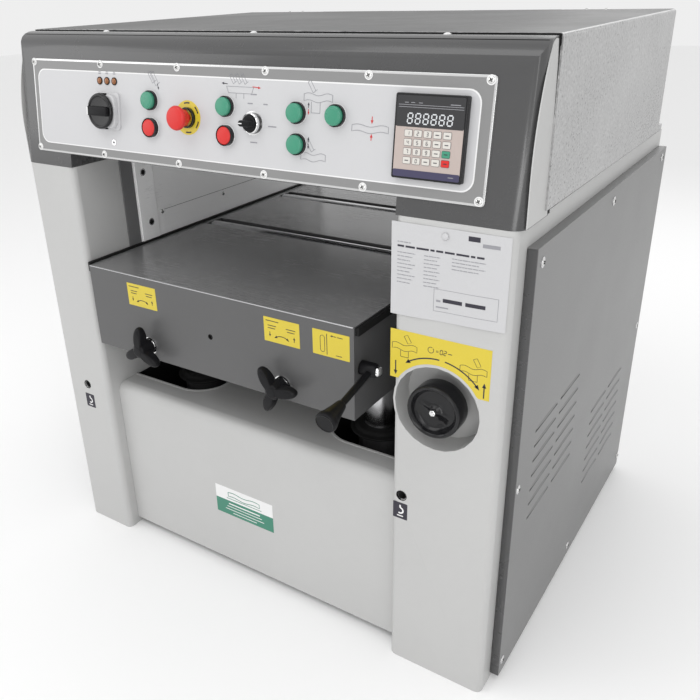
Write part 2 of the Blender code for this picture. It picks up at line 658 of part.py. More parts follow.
def make_chain(name, circles, axis, low, high, thickness, finish=STEEL):
    """A closed chain or belt: the loop round its wheels, swept across its width."""
    flats = 1.0 / math.cos(math.radians(LOOP_STEP / 2))
    inner = [(u, v, (radius + RUNNING_GAP) * flats) for u, v, radius in circles]
    outer = [(u, v, radius + thickness) for u, v, radius in inner]
    window = prism(loop_outline(inner), axis, low - 0.01, high + 0.01)
    piece(name, finish, prism(loop_outline(outer), axis, low, high), cuts=[window])


def make_lift_drive():
    """The chain that ties the lead screws together, and the worm gearmotor round the left screw."""
    wheels = [(x, SCREW_Y, SCREW_SPROCKET_RADIUS) for x in COLUMNS_X]
    make_chain("lift_chain", wheels, "Z", LIFT_CHAIN_HEIGHT - 0.005, LIFT_CHAIN_HEIGHT + 0.005,
               CHAIN_THICKNESS)
    x = COLUMNS_X[0]
    foot, head = LIFT_CHAIN_HEIGHT + 0.012, LIFT_CHAIN_HEIGHT + 0.092
    gearbox = box((x - 0.045, SCREW_Y - 0.045, foot), (x + 0.055, SCREW_Y + 0.045, head))
    motor = rod((SCREW_Y, (foot + head) / 2), 0.036, "X", x + 0.050, x + 0.200, 16)
    leg = box((x + 0.150, SCREW_Y - 0.020, FLOOR_PLATE + FIT_GAP),
              (x + 0.190, SCREW_Y + 0.020, foot + 0.020))
    hole = bore((x, SCREW_Y), SCREW_RADIUS, "Z", foot - 0.01, head + 0.01, 16)
    piece("lift_gearmotor", MOTOR_BLUE, gearbox, [motor, leg], [hole])


def make_clamp_knob(name, x, turn):
    """A three-lobed clamp knob with its hub and stud, turned so that its first lobe points at an angle."""
    z = TABLE_TOP - KNOB_BELOW_TABLE
    outline = []
    for i in range(KNOB_OUTLINE_STEPS):
        angle = 2.0 * math.pi * i / KNOB_OUTLINE_STEPS
        wave = (0.5 + 0.5 * math.cos(3.0 * angle)) ** KNOB_LOBE_SHARPNESS
        reach = KNOB_CORE_RADIUS + (KNOB_LOBE_REACH - KNOB_CORE_RADIUS) * wave
        facing = angle + math.radians(turn)
        outline.append((x + reach * math.cos(facing), z + reach * math.sin(facing)))
    back = TABLE_FRONT - KNOB_STANDOFF
    lobes = prism(outline, "Y", back - KNOB_THICKNESS, back)
    hub = rod((x, z), KNOB_CORE_RADIUS + 0.004, "Y", back - KNOB_THICKNESS - 0.004, TABLE_FRONT - FIT_GAP,
              16)
    stud = rod((x, z), STUD_RADIUS, "Y", back, TABLE_FRONT + SKIRT_WALL, 12)
    piece(name, BLACK, lobes, [hub, stud], origin=(x, TABLE_FRONT, z))


def make_roller_lever():
    """The lever at the table's right that raises the bed rollers: pivot, hub, rod and tapered grip."""
    y, z = lever_centre()
    droop = math.radians(LEVER_DROOP)
    along = Vector((0.0, -math.cos(droop), -math.sin(droop)))
    low, high = TABLE_RIGHT + FIT_GAP, TABLE_RIGHT + 0.034
    x = TABLE_RIGHT + 0.020
    pivot = rod((y, z), STUD_RADIUS, "X", TABLE_RIGHT - SKIRT_WALL, high + 0.006, 12)
    hub = rod((y, z), LEVER_HUB_RADIUS, "X", low, high, 16)
    grip_start = LEVER_LENGTH - LEVER_GRIP_LENGTH
    profile = [(0.0, 0.002), (LEVER_ROD_RADIUS, 0.002), (LEVER_ROD_RADIUS, grip_start),
               (0.009, grip_start), (LEVER_GRIP_RADIUS, LEVER_LENGTH - 0.010),
               (LEVER_GRIP_RADIUS, LEVER_LENGTH - 0.004), (LEVER_GRIP_RADIUS - 0.004, LEVER_LENGTH),
               (0.0, LEVER_LENGTH)]
    arm = turned(profile, (x, y, z), along, 14)
    piece("bed_roller_lever", BLACK, hub, [pivot, arm], origin=(x, y, z))


def make_handwheel():
    """The dished handwheel on its shaft, and the worm box behind its pocket."""
    x, z = HANDWHEEL_X, HANDWHEEL_HEIGHT
    front = FRONT - HANDWHEEL_PROUD
    rim = HANDWHEEL_RADIUS
    back = front + HANDWHEEL_THICKNESS
    end = FRONT + POCKET_DEPTH + 0.060
    profile = [(0.0, front + HANDWHEEL_DISH), (rim - 0.009, front + HANDWHEEL_DISH - 0.002),
               (rim - 0.005, front), (rim, front + 0.004), (rim, back), (0.018, back), (0.018,
                                                                                        back + 0.012),
               (HANDWHEEL_SHAFT_RADIUS, back + 0.012), (HANDWHEEL_SHAFT_RADIUS, end), (0.0, end)]
    piece("handwheel", BLACK, turned(profile, (x, 0.0, z), (0.0, 1.0, 0.0), 24), origin=(x, FRONT, z))
    near = FRONT + POCKET_DEPTH + 0.020
    low = (OPENING_RIGHT + CASING_WALL + FIT_GAP, near, z - 0.040)
    high = (x + 0.035, near + 0.090, z + 0.040)
    piece("handwheel_gearbox", CAST_IRON, box(low, high),
          cuts=[bore((x, z), HANDWHEEL_SHAFT_RADIUS, "Y", near - 0.01, end + 0.002, 16)])


def make_head_frame():
    """Two end plates on the casings' inner rims, tied across, bored for every shaft of the head."""
    front, back = CUTTER_Y - HEAD_HALF_DEPTH - 0.060, CUTTER_Y + HEAD_HALF_DEPTH - 0.076
    top = HEAD_FOOT + HEAD_PLATE_HEIGHT
    left, right = OPENING_LEFT, OPENING_RIGHT
    plates = [box((left - HEAD_PLATE, front, HEAD_FOOT), (left, back, top)),
              box((right, front, HEAD_FOOT), (right + HEAD_PLATE, back, top))]
    ties = [box((left - 0.005, front + 0.010, top - 0.110), (right + 0.005, front + 0.035, top - 0.020)),
            box((left - 0.005, CUTTER_Y - 0.190, top - 0.045),
                (right + 0.005, CUTTER_Y - 0.150, top - 0.005)),
            box((left - 0.005, back - 0.035, HEAD_FOOT + 0.006),
                (right + 0.005, back - 0.005, HEAD_FOOT + 0.040))]
    low, high = left - HEAD_PLATE - 0.01, right + HEAD_PLATE + 0.01
    cuts = [rod((CUTTER_Y, CUTTER_Z), BEARING_RADIUS + RUNNING_GAP, "X", low, high, 20)]
    for y in FEED_ROLLERS_Y:
        cuts.append(bore((y, FEED_ROLLER_Z), FEED_JOURNAL_RADIUS, "X", low, high, 16))
    cuts.append(bore(breaker_pivot(), BREAKER_PIVOT_RADIUS, "X", low, high, 12))
    cuts.append(bore(kickback_pivot(), KICKBACK_ROD_RADIUS, "X", low, high, 12))
    piece("head_frame", CAST_IRON, plates[0], [ties[0], plates[1], ties[1], ties[2]], cuts)


def breaker_pivot():
    """The chip breaker's pivot, as (y, z)."""
    return (CUTTER_Y - BREAKER_FROM_CUTTER, CABINET_HEIGHT + BREAKER_PIVOT_HEIGHT)


def kickback_pivot():
    """The anti-kickback fingers' rod, as (y, z)."""
    return (CUTTER_Y - KICKBACK_FROM_CUTTER, CABINET_HEIGHT + KICKBACK_HEIGHT)


def make_cutter():
    """The cutter block with its gullets and shaft, its two bearings and its pulley."""
    y, z = CUTTER_Y, CUTTER_Z
    low, high = TABLE_LEFT + 0.004, OPENING_RIGHT - 0.015
    steps = 10
    outline = []
    pitch = 360.0 / CUTTER_KNIVES
    for knife in range(CUTTER_KNIVES):
        start = knife * pitch
        outline += arc((y, z), CUTTER_RADIUS - 0.001, start, start + pitch - 22.0, steps - 4)
        outline += arc((y, z), CUTTER_RADIUS - CUTTER_GULLET, start + pitch - 17.0, start + pitch - 5.0, 2)
    shaft_left, shaft_right = OPENING_LEFT - 0.045, PULLEY_X + PULLEY_WIDTH / 2 + 0.010
    shaft = rod((y, z), CUTTER_SHAFT_RADIUS, "X", shaft_left, shaft_right, 20)
    piece("cutter_block", STEEL, prism(outline, "X", low, high), [shaft], origin=(0.0, y, z))
    left, right = OPENING_LEFT, OPENING_RIGHT
    for side, inner, outward in (("left", left, -1.0), ("right", right, 1.0)):
        base = inner + outward * (HEAD_PLATE + FIT_GAP)
        flange = rod((y, z), BEARING_FLANGE_RADIUS, "X", min(base, base + outward * 0.008),
                     max(base, base + outward * 0.008), 20)
        nose = rod((y, z), BEARING_RADIUS, "X", min(inner + outward * 0.002, base + outward * 0.004),
                   max(inner + outward * 0.002, base + outward * 0.004), 20)
        hole = bore((y, z), CUTTER_SHAFT_RADIUS, "X", min(inner, base) - 0.02, max(inner, base) + 0.02, 20)
        piece(f"cutter_bearing_{side}", CAST_IRON, flange, [nose], [hole])
    profile = pulley_profile(CUTTER_PULLEY_RADIUS, PULLEY_X)
    bored = rod((y, z), CUTTER_SHAFT_RADIUS + FIT_GAP, "X", PULLEY_X - 0.1, PULLEY_X + 0.1, 20)
    piece("cutter_pulley", CAST_IRON, turned(profile, (0.0, y, z), (1.0, 0.0, 0.0), 20), cuts=[bored],
          origin=(0.0, y, z))


def pulley_profile(radius, x):
    """A flat pulley with a low rim at each edge."""
    half, belt = PULLEY_WIDTH / 2, BELT_WIDTH / 2 + 0.001
    rim = radius + BELT_THICKNESS / 2
    return [(0.0, x - half), (rim, x - half), (rim, x - belt), (radius, x - belt), (radius, x + belt),
            (rim, x + belt), (rim, x + half), (0.0, x + half)]


def make_cutter_drive():
    """The main motor on the floor frame, its pulley on its shaft, and the belt up to the cutter."""
    y, z = MOTOR_Y, MOTOR_HEIGHT
    right = OPENING_RIGHT - MOTOR_WALL_GAP
    left = right - MOTOR_LENGTH
    frame = rod((y, z), MOTOR_RADIUS, "X", left, right, 24)
    foot = box((left + 0.060, y - MOTOR_RADIUS, FLOOR_PLATE + FIT_GAP),
               (right - 0.060, y + MOTOR_RADIUS, z - 0.050))
    terminal = box((left + 0.100, y - 0.045, z + MOTOR_RADIUS - 0.015),
                   (left + 0.200, y + 0.045, z + MOTOR_RADIUS + 0.030))
    seat = bore((y, z), MOTOR_SHAFT_RADIUS, "X", right - 0.040, right + 0.02, 16)
    piece("drive_motor", MOTOR_BLUE, frame, [foot, terminal], [seat])
    shaft = rod((y, z), MOTOR_SHAFT_RADIUS, "X", right - 0.038, PULLEY_X + PULLEY_WIDTH / 2 + 0.006, 16)
    wheel = turned(pulley_profile(MOTOR_PULLEY_RADIUS, PULLEY_X), (0.0, y, z), (1.0, 0.0, 0.0), 20)
    piece("motor_pulley", CAST_IRON, wheel, [shaft], origin=(0.0, y, z))
    wheels = [(y, z, MOTOR_PULLEY_RADIUS), (CUTTER_Y, CUTTER_Z, CUTTER_PULLEY_RADIUS)]
    make_chain("drive_belt", wheels, "X", PULLEY_X - BELT_WIDTH / 2, PULLEY_X + BELT_WIDTH / 2,
               BELT_THICKNESS, BLACK)


def make_feed_rollers():
    """The infeed and outfeed rollers, each with its journals and the sprocket on its left end."""
    low, high = TABLE_LEFT + 0.004, OPENING_RIGHT - 0.015
    chain = FEED_CHAIN_LEFT
    end = OPENING_RIGHT + HEAD_PLATE + 0.010
    for name, y in zip(("infeed_roller", "outfeed_roller"), FEED_ROLLERS_Y):
        profile = [(0.0, chain - 0.008), (FEED_JOURNAL_RADIUS, chain - 0.008),
                   (FEED_JOURNAL_RADIUS, chain - 0.003),
                   (FEED_SPROCKET_RADIUS, chain - 0.003), (FEED_SPROCKET_RADIUS, chain + 0.003),
                   (FEED_JOURNAL_RADIUS, chain + 0.003), (FEED_JOURNAL_RADIUS, low), (FEED_ROLLER_RADIUS,
                                                                                      low),
                   (FEED_ROLLER_RADIUS, high), (FEED_JOURNAL_RADIUS, high), (FEED_JOURNAL_RADIUS,
                                                                             end), (0.0, end)]
        piece(name, STEEL, turned(profile, (0.0, y, FEED_ROLLER_Z), (1.0, 0.0, 0.0), 18),
              origin=(0.0, y, FEED_ROLLER_Z))


def make_feed_drive():
    """The feed gearmotor in the left casing, its output sprocket and the chain round all three."""
    y, z, chain = CUTTER_Y, FEED_DRIVE_HEIGHT, FEED_CHAIN_LEFT
    wall = OPENING_LEFT - CASING_WALL - FIT_GAP
    face = chain + 0.010
    gearbox = box((face, y - 0.075, z - 0.080), (wall, y + 0.075, z + 0.060))
    motor = rod((wall - FEED_MOTOR_RADIUS - 0.002, y), FEED_MOTOR_RADIUS, "Z", z - 0.280, z - 0.075, 16)
    seat = bore((y, z), MOTOR_SHAFT_RADIUS, "X", face - 0.01, face + 0.020, 16)
    piece("feed_gearmotor", MOTOR_BLUE, gearbox, [motor], [seat])
    profile = [(0.0, chain - 0.008), (MOTOR_SHAFT_RADIUS, chain - 0.008),
               (MOTOR_SHAFT_RADIUS, chain - 0.003),
               (FEED_DRIVE_SPROCKET_RADIUS, chain - 0.003), (FEED_DRIVE_SPROCKET_RADIUS, chain + 0.003),
               (MOTOR_SHAFT_RADIUS, chain + 0.003), (MOTOR_SHAFT_RADIUS, face + 0.018), (0.0, face + 0.018)]
    piece("feed_drive_sprocket", STEEL, turned(profile, (0.0, y, z), (1.0, 0.0, 0.0), 16),
          origin=(0.0, y, z))
    wheels = [(y, z, FEED_DRIVE_SPROCKET_RADIUS), (FEED_ROLLERS_Y[1], FEED_ROLLER_Z, FEED_SPROCKET_RADIUS),
              (FEED_ROLLERS_Y[0], FEED_ROLLER_Z, FEED_SPROCKET_RADIUS)]
    make_chain("feed_chain", wheels, "X", chain - 0.005, chain + 0.005, CHAIN_THICKNESS)


def make_head_bars():
    """Chip breaker before the cutter, pressure bar behind it, fingers and their rod at the mouth."""
    low, high = TABLE_LEFT + 0.006, OPENING_RIGHT - 0.017
    left, right = OPENING_LEFT, OPENING_RIGHT
    y, z = breaker_pivot()
    toe = CUT_HEIGHT - 0.001
    outline = [(y - 0.014, z + 0.009), (y + 0.007, z + 0.009), (y + 0.006, toe + 0.045),
               (y + 0.012, toe + 0.006),
               (y + 0.009, toe), (y - 0.003, toe + 0.003), (y - 0.009, toe + 0.045)]
    pin = rod((y, z), BREAKER_PIVOT_RADIUS, "X", left - HEAD_PLATE + 0.002, right + HEAD_PLATE - 0.002, 12)
    piece("chip_breaker", CAST_IRON, prism(outline, "X", low, high), [pin], origin=(0.0, y, z))
    y = CUTTER_Y + PRESSURE_BAR_FROM_CUTTER
    outline = [(y, CUT_HEIGHT), (y + 0.010, CUT_HEIGHT), (y + 0.016, CUT_HEIGHT + 0.030),
               (y + 0.016, CUT_HEIGHT + 0.060), (y, CUT_HEIGHT + 0.060)]
    piece("pressure_bar", CAST_IRON, prism(outline, "X", left + FIT_GAP, right - FIT_GAP))
    y, z = kickback_pivot()
    piece("anti_kickback_rod", STEEL,
          rod((y, z), KICKBACK_ROD_RADIUS, "X", left - HEAD_PLATE, right + HEAD_PLATE, 12))
    sleeve = rod((y, z), KICKBACK_ROD_RADIUS + 0.006, "X", low, high, 12)
    tip = CUT_HEIGHT - KICKBACK_BELOW_CUT
    finger = [(y - 0.011, z), (y + 0.011, z), (y + 0.013, tip + 0.028), (y + 0.004, tip), (y - 0.004, tip),
              (y - 0.011, tip + 0.028)]
    pitch = (high - low - KICKBACK_FINGER_WIDTH) / (KICKBACK_FINGERS - 1)
    fingers = []
    for number in range(KICKBACK_FINGERS):
        start = low + number * pitch
        fingers.append(prism(finger, "X", start, start + KICKBACK_FINGER_WIDTH))
    hole = bore((y, z), KICKBACK_ROD_RADIUS, "X", low - 0.01, high + 0.01, 12)
    piece("anti_kickback_fingers", STEEL, sleeve, [merged(fingers)], [hole], origin=(0.0, y, z))


def console_hollow(left, right, low, high):
    """The space inside the console's walls, between two sides and two heights over its foot."""
    front = FRONT + CONSOLE_WALL + CONSOLE_LEAN * low
    plan = rounded_plan(left, right, front, FRONT + 2 * CONSOLE_FOOT_DEPTH,
                        CONSOLE_CORNER_RADIUS - CONSOLE_WALL)
    return prism(plan, "Z", CONSOLE_FOOT + low, CONSOLE_FOOT + high,
                 (0.0, CONSOLE_LEAN * (high - low), 0.0))


def control_holes():
    """Clearance holes for every control's stem, through the console's front and the control plate."""
    places = GREEN_BUTTONS + RED_BUTTONS + (STOP_PLACE, SELECTOR_PLACE, MAIN_SWITCH_PLACE)
    holes = [control_rod(place, hole_profile(BUTTON_STEM_RADIUS)) for place in places]
    holes += [control_rod(place, hole_profile(LAMP_RADIUS), 8) for place in lamp_places()]
    return merged(holes)


def make_console():
    """The control console: a leaning front, open at the back, its foot raised between the casings."""
    half, foot, top = CONSOLE_HALF, CONSOLE_FOOT, CONSOLE_FOOT + CONSOLE_HEIGHT
    radius, wall = CONSOLE_TOP_RADIUS, CONSOLE_WALL
    back = FRONT + 2 * CONSOLE_FOOT_DEPTH
    plan = rounded_plan(-half, half, FRONT, back, CONSOLE_CORNER_RADIUS)
    block = prism(plan, "Z", foot, top, (0.0, CONSOLE_LEAN * CONSOLE_HEIGHT, 0.0))
    crown_height = CONSOLE_HEIGHT - radius * (1.0 - math.sin(CONSOLE_TILT))
    crown_y = FRONT + CONSOLE_LEAN * crown_height + radius * math.cos(CONSOLE_TILT)
    side = [(FRONT - 0.001, foot - 0.001)]
    side += arc((crown_y, top - radius), radius + 0.0001, 180.0 - math.degrees(CONSOLE_TILT), 90.0, 7)
    side += [(FRONT + CONSOLE_TOP_DEPTH, top), (FRONT + CONSOLE_FOOT_DEPTH, foot),
             (FRONT + CONSOLE_FOOT_DEPTH, foot - 0.001)]
    hollows = [console_hollow(-half + wall, half - wall, CONSOLE_RISE + wall, CONSOLE_HEIGHT - radius),
               console_hollow(-half + wall, OPENING_LEFT - wall, wall, CONSOLE_RISE + wall + 0.001),
               console_hollow(OPENING_RIGHT + wall, half - wall, wall, CONSOLE_RISE + wall + 0.001),
               box((-half + wall, crown_y - 0.020, top - radius - 0.02), (half - wall, back, top - wall)),
               box((OPENING_LEFT, FRONT - 0.01, foot - 0.01), (OPENING_RIGHT, back, foot + CONSOLE_RISE)),
               control_holes()]
    steps = [("INTERSECT", prism(side, "X", -half - 0.01, half + 0.01))]
    steps += [("DIFFERENCE", shape) for shape in hollows]
    piece("front_console", SLATE_GREY, block, steps=steps)
    plate = console_slab(PLATE_LEFT, PLATE_RIGHT, PLATE_FOOT, PLATE_FOOT + PLATE_HEIGHT, FIT_GAP,
                         PLATE_THICKNESS)
    piece("control_plate", PALE_GREY, plate, cuts=[control_holes()])


def hole_profile(radius):
    """A clearance hole through the console's front and the control plate."""
    wide = radius + 2 * RUNNING_GAP
    return [(0.0, -0.012), (wide, -0.012), (wide, 0.012), (0.0, 0.012)]


def lamp_places():
    """The three indicator lamps, in a row."""
    return [(LAMP_PLACE[0] + (i - 1) * LAMP_PITCH, LAMP_PLACE[1]) for i in range(3)]


def make_push_button(name, finish, place, proud):
    """A push button: a cap that travels above the plate, on a stem through it, with a collar behind."""
    cap = PLATE_THICKNESS + BUTTON_TRAVEL + 0.0008
    tip = PLATE_THICKNESS + proud
    profile = [(0.0, -0.016), (BUTTON_STEM_RADIUS + 0.003, -0.016),
               (BUTTON_STEM_RADIUS + 0.003, -0.012 + 0.004),
               (BUTTON_STEM_RADIUS, -0.008), (BUTTON_STEM_RADIUS, cap), (BUTTON_RADIUS, cap),
               (BUTTON_RADIUS, tip), (0.0, tip)]
    piece(name, finish, control_rod(place, profile), origin=control_point(place))


def make_controls():
    """Buttons, emergency stop, selector, main switch, lamps and readout on the console's plate."""
    names = ("feed_start_button", "cutter_start_button", "table_up_button", "table_position_button",
             "table_down_button")
    for name, place in zip(names, GREEN_BUTTONS):
        make_push_button(name, GREEN, place, BUTTON_PROUD)
    for name, place in zip(("feed_stop_button", "cutter_stop_button"), RED_BUTTONS):
        make_push_button(name, RED, place, RED_BUTTON_PROUD)
    seat = PLATE_THICKNESS + STOP_TRAVEL + 0.004
    tip = PLATE_THICKNESS + STOP_PROUD
    profile = [(0.0, -0.018), (0.010, -0.018), (0.010, -0.010), (BUTTON_STEM_RADIUS, -0.010),
               (BUTTON_STEM_RADIUS, seat),
               (0.014, seat), (0.014, tip - 0.012), (STOP_RADIUS, tip - 0.009), (STOP_RADIUS, tip - 0.004),
               (STOP_RADIUS - 0.005, tip - 0.001), (0.0, tip)]
    piece("emergency_stop_button", RED, control_rod(STOP_PLACE, profile, 16),
          origin=control_point(STOP_PLACE))
    make_switches()
    profile = [(0.0, -0.011), (LAMP_RADIUS, -0.011), (LAMP_RADIUS, PLATE_THICKNESS + 0.002),
               (LAMP_RADIUS - 0.002, PLATE_THICKNESS + 0.004), (0.0, PLATE_THICKNESS + 0.004)]
    lamps = [control_rod(place, profile, 8) for place in lamp_places()]
    x, height = PLATE_LEFT + LAMP_PLACE[0], PLATE_FOOT + LAMP_PLACE[1]
    bar = console_slab(x - LAMP_PITCH - 0.008, x + LAMP_PITCH + 0.008, height - 0.008, height + 0.008,
                       -0.016, -0.009)
    piece("indicator_lamps", AMBER, bar, lamps)
    x, height = PLATE_RIGHT - READOUT_PLACE[0], PLATE_FOOT + READOUT_PLACE[1]
    out = PLATE_THICKNESS + FIT_GAP
    piece("digital_readout", BLACK,
          console_slab(x - READOUT_WIDTH / 2, x + READOUT_WIDTH / 2, height - READOUT_HEIGHT / 2,
                       height + READOUT_HEIGHT / 2, out, out + READOUT_PROUD))


def make_switches():
    """The rotary selector and the rotary main switch, each a skirt with a grip bar across it."""
    seat = PLATE_THICKNESS + 0.004
    tip = PLATE_THICKNESS + SELECTOR_PROUD
    x, height = PLATE_LEFT + SELECTOR_PLACE[0], PLATE_FOOT + SELECTOR_PLACE[1]
    profile = [(0.0, -0.012), (BUTTON_STEM_RADIUS, -0.012), (BUTTON_STEM_RADIUS, seat),
               (SELECTOR_RADIUS, seat),
               (SELECTOR_RADIUS, seat + 0.006), (SELECTOR_RADIUS - 0.001, seat + 0.007), (0.0,
                                                                                          seat + 0.007)]
    bar = console_slab(x - SELECTOR_RADIUS + 0.001, x + SELECTOR_RADIUS - 0.001, height - 0.005,
                       height + 0.005,
                       seat + 0.003, tip)
    piece("selector_knob", BLACK, control_rod(SELECTOR_PLACE, profile), [bar],
          origin=control_point(SELECTOR_PLACE))
    x, height = PLATE_LEFT + MAIN_SWITCH_PLACE[0], PLATE_FOOT + MAIN_SWITCH_PLACE[1]
    half = MAIN_SWITCH_SIZE / 2
    out = PLATE_THICKNESS + FIT_GAP
    base_top = out + MAIN_SWITCH_BASE
    plate = console_slab(x - half, x + half, height - half, height + half, out, base_top)
    hole = control_rod(MAIN_SWITCH_PLACE, [(0.0, -0.01), (0.0078, -0.01), (0.0078, 0.03), (0.0, 0.03)])
    piece("main_switch_base", PALE_GREY, plate, cuts=[hole])
    seat = base_top + 0.001
    tip = PLATE_THICKNESS + MAIN_SWITCH_PROUD
    profile = [(0.0, -0.012), (BUTTON_STEM_RADIUS, -0.012), (BUTTON_STEM_RADIUS, seat),
               (MAIN_SWITCH_RADIUS, seat),
               (MAIN_SWITCH_RADIUS, seat + 0.006), (MAIN_SWITCH_RADIUS - 0.002, seat + 0.008), (0.0,
                                                                                                seat + 0.008)]
    bar = console_slab(x - 0.026, x + 0.026, height - 0.008, height + 0.008, seat + 0.003, tip)
    piece("main_switch_knob", BLACK, control_rod(MAIN_SWITCH_PLACE, profile, 16), [bar],
          origin=control_point(MAIN_SWITCH_PLACE))


def make_hood():
    """The hinged hood: a folded sheet over the head with a front lip, and its hinge barrels."""
    half, sheet, radius = HOOD_HALF, HOOD_SHEET, HOOD_EDGE_RADIUS
    foot, top = CABINET_HEIGHT + HOOD_FOOT, HOOD_TOP
    front, back = FRONT + HOOD_FRONT, BACK - HOOD_BACK
    outline = [(-half, foot)]
    outline += arc((-half + radius, top - radius), radius, 180.0, 90.0, 4)
    outline += arc((half - radius, top - radius), radius, 90.0, 0.0, 4)
    outline += [(half, foot), (half - sheet, foot)]
    outline += arc((half - radius, top - radius), radius - sheet, 0.0, 90.0, 4)
    outline += arc((-half + radius, top - radius), radius - sheet, 90.0, 180.0, 4)
    outline.append((-half + sheet, foot))
    lip = box((-half + sheet / 2, front + 0.0002, top - HOOD_LIP),
              (half - sheet / 2, front + sheet, top - sheet / 2))
    barrels = []
    for middle in (-HINGE_LENGTH * 1.02, HINGE_LENGTH * 1.02):
        barrels.append(rod((HINGE_Y, HINGE_Z), HINGE_RADIUS, "X", middle - HINGE_LENGTH / 2,
                           middle + HINGE_LENGTH / 2, 12))
        barrels.append(box((middle - HINGE_LENGTH / 2, back - 0.010, top - sheet + 0.0002),
                           (middle + HINGE_LENGTH / 2, HINGE_Y, top - 0.0004)))
    hole = bore((HINGE_Y, HINGE_Z), HINGE_PIN_RADIUS, "X", -half, half, 12)
    piece("hood", HAMMER_GREY, prism(outline, "Y", front, back), [lip] + barrels, [hole],
          origin=(0.0, HINGE_Y, HINGE_Z))


def make_dust_hood():
    """The fixed chip box behind the hood with its round outlet, and the hinge standing on it."""
    half = DUST_HOOD_WIDTH / 2
    foot = CABINET_HEIGHT + FIT_GAP
    head = foot + DUST_HOOD_HEIGHT
    near, far = BACK - HOOD_BACK + 0.004, BACK - 0.0065
    wall = DUST_HOOD_WALL
    shell = box((-half, near, foot), (half, far, head))
    flange = box((LEFT + FIT_GAP, near + 0.002, foot), (RIGHT - FIT_GAP, far, foot + DUST_HOOD_FLANGE))
    middle = foot + DUST_HOOD_HEIGHT / 2
    outlet = rod((0.0, middle), DUST_OUTLET_RADIUS, "Y", far - wall / 2, far + DUST_OUTLET_LENGTH, 20)
    hollow = box((-half + wall, near - 0.01, foot + DUST_HOOD_FLANGE),
                 (half - wall, far - wall, head - wall))
    mouth = rod((0.0, middle), DUST_OUTLET_RADIUS - wall, "Y", far - 0.02, far + DUST_OUTLET_LENGTH + 0.01,
                20)
    piece("dust_hood", HAMMER_GREY, shell, [flange, outlet], [hollow, mouth])
    gap = 0.002
    inner = HINGE_LENGTH * 0.52 - gap
    pin = rod((HINGE_Y, HINGE_Z), HINGE_PIN_RADIUS, "X", -1.54 * HINGE_LENGTH, 1.54 * HINGE_LENGTH, 12)
    knuckle = rod((HINGE_Y, HINGE_Z), HINGE_RADIUS, "X", -inner, inner, 12)
    leaf = box((-inner + 0.001, HINGE_Y - 0.002, head + FIT_GAP), (inner - 0.001, HINGE_Y + 0.002, HINGE_Z))
    foot_leaf = box((-inner + 0.001, HINGE_Y - 0.002, head + FIT_GAP),
                    (inner - 0.001, HINGE_Y + 0.030, head + 0.004))
    piece("hood_hinge", STEEL, knuckle, [pin, leaf, foot_leaf])


def build_planer():
    """Every sub-part of the machine."""
    for leftover in list(bpy.data.objects):
        bpy.data.objects.remove(leftover, do_unlink=True)
    for side in ("left", "right"):
        make_casing(side)
        make_side_panel(side)
        make_guide_plate(side)
    make_base_frame()
    make_front_base_panel()
    make_rear_base_panel()
    make_table()
    make_bed_rollers()
    make_lifting_columns()
    make_lead_screws()
    make_lift_drive()
    for side, x, turn in zip(("left", "right"), knob_places(), KNOB_TURNS):
        make_clamp_knob(f"table_clamp_knob_{side}", x, turn)
    make_roller_lever()
    make_handwheel()
    make_head_frame()
    make_cutter()
    make_cutter_drive()
    make_feed_rollers()
    make_feed_drive()
    make_head_bars()
    make_console()
    make_controls()
    make_hood()
    make_dust_hood()


build_planer()
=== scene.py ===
"""Thickness planer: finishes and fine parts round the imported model, in metres, +Z up, operator at -Y."""
import json
import math

import bmesh
import bpy
import numpy as np
from mathutils import Matrix, Vector


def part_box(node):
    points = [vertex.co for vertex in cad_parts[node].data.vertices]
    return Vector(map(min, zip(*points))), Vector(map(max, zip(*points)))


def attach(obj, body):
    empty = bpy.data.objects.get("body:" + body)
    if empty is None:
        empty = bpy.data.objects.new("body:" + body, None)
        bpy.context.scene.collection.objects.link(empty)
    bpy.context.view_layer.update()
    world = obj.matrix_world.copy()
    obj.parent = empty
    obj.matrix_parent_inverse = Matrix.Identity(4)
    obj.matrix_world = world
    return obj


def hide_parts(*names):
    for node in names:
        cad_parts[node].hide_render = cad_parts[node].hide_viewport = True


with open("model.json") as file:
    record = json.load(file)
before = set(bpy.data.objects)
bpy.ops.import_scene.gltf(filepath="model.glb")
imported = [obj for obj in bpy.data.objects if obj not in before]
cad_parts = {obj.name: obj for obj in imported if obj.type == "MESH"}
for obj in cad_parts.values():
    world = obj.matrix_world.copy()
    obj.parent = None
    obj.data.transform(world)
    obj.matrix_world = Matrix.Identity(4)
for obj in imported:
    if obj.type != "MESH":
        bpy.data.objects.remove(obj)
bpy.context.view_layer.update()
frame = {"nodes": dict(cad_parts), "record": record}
nodes = frame["nodes"]
joints = {joint["name"]: joint for joint in frame["record"]["behaviour"]["joints"]}
body_of_node = {n: b for b, group in frame["record"]["behaviour"]["bodies"].items() for n in group}

TAU = 2.0 * math.pi
SIDES = (("left", -1.0), ("right", 1.0))
PRINT = 0.0002
STICKER = 0.0003
INK = STICKER + 0.0002
CONSOLE_LEAN = 0.12
CONSOLE_TILT = math.atan(CONSOLE_LEAN)

# ------------------------------------------------------------------ shapes


def grid(points, close_rows=False, close_columns=False):
    """Quads over a grid of points; closing joins the last row or column back to the first."""
    rows, columns = points.shape[:2]
    index = np.arange(rows * columns).reshape(rows, columns)
    if close_rows:
        index = np.vstack([index, index[:1]])
    if close_columns:
        index = np.hstack([index, index[:, :1]])
    quads = np.stack([index[:-1, :-1], index[1:, :-1], index[1:, 1:], index[:-1, 1:]], axis=-1)
    return points.reshape(-1, 3), quads.reshape(-1, 4).tolist()


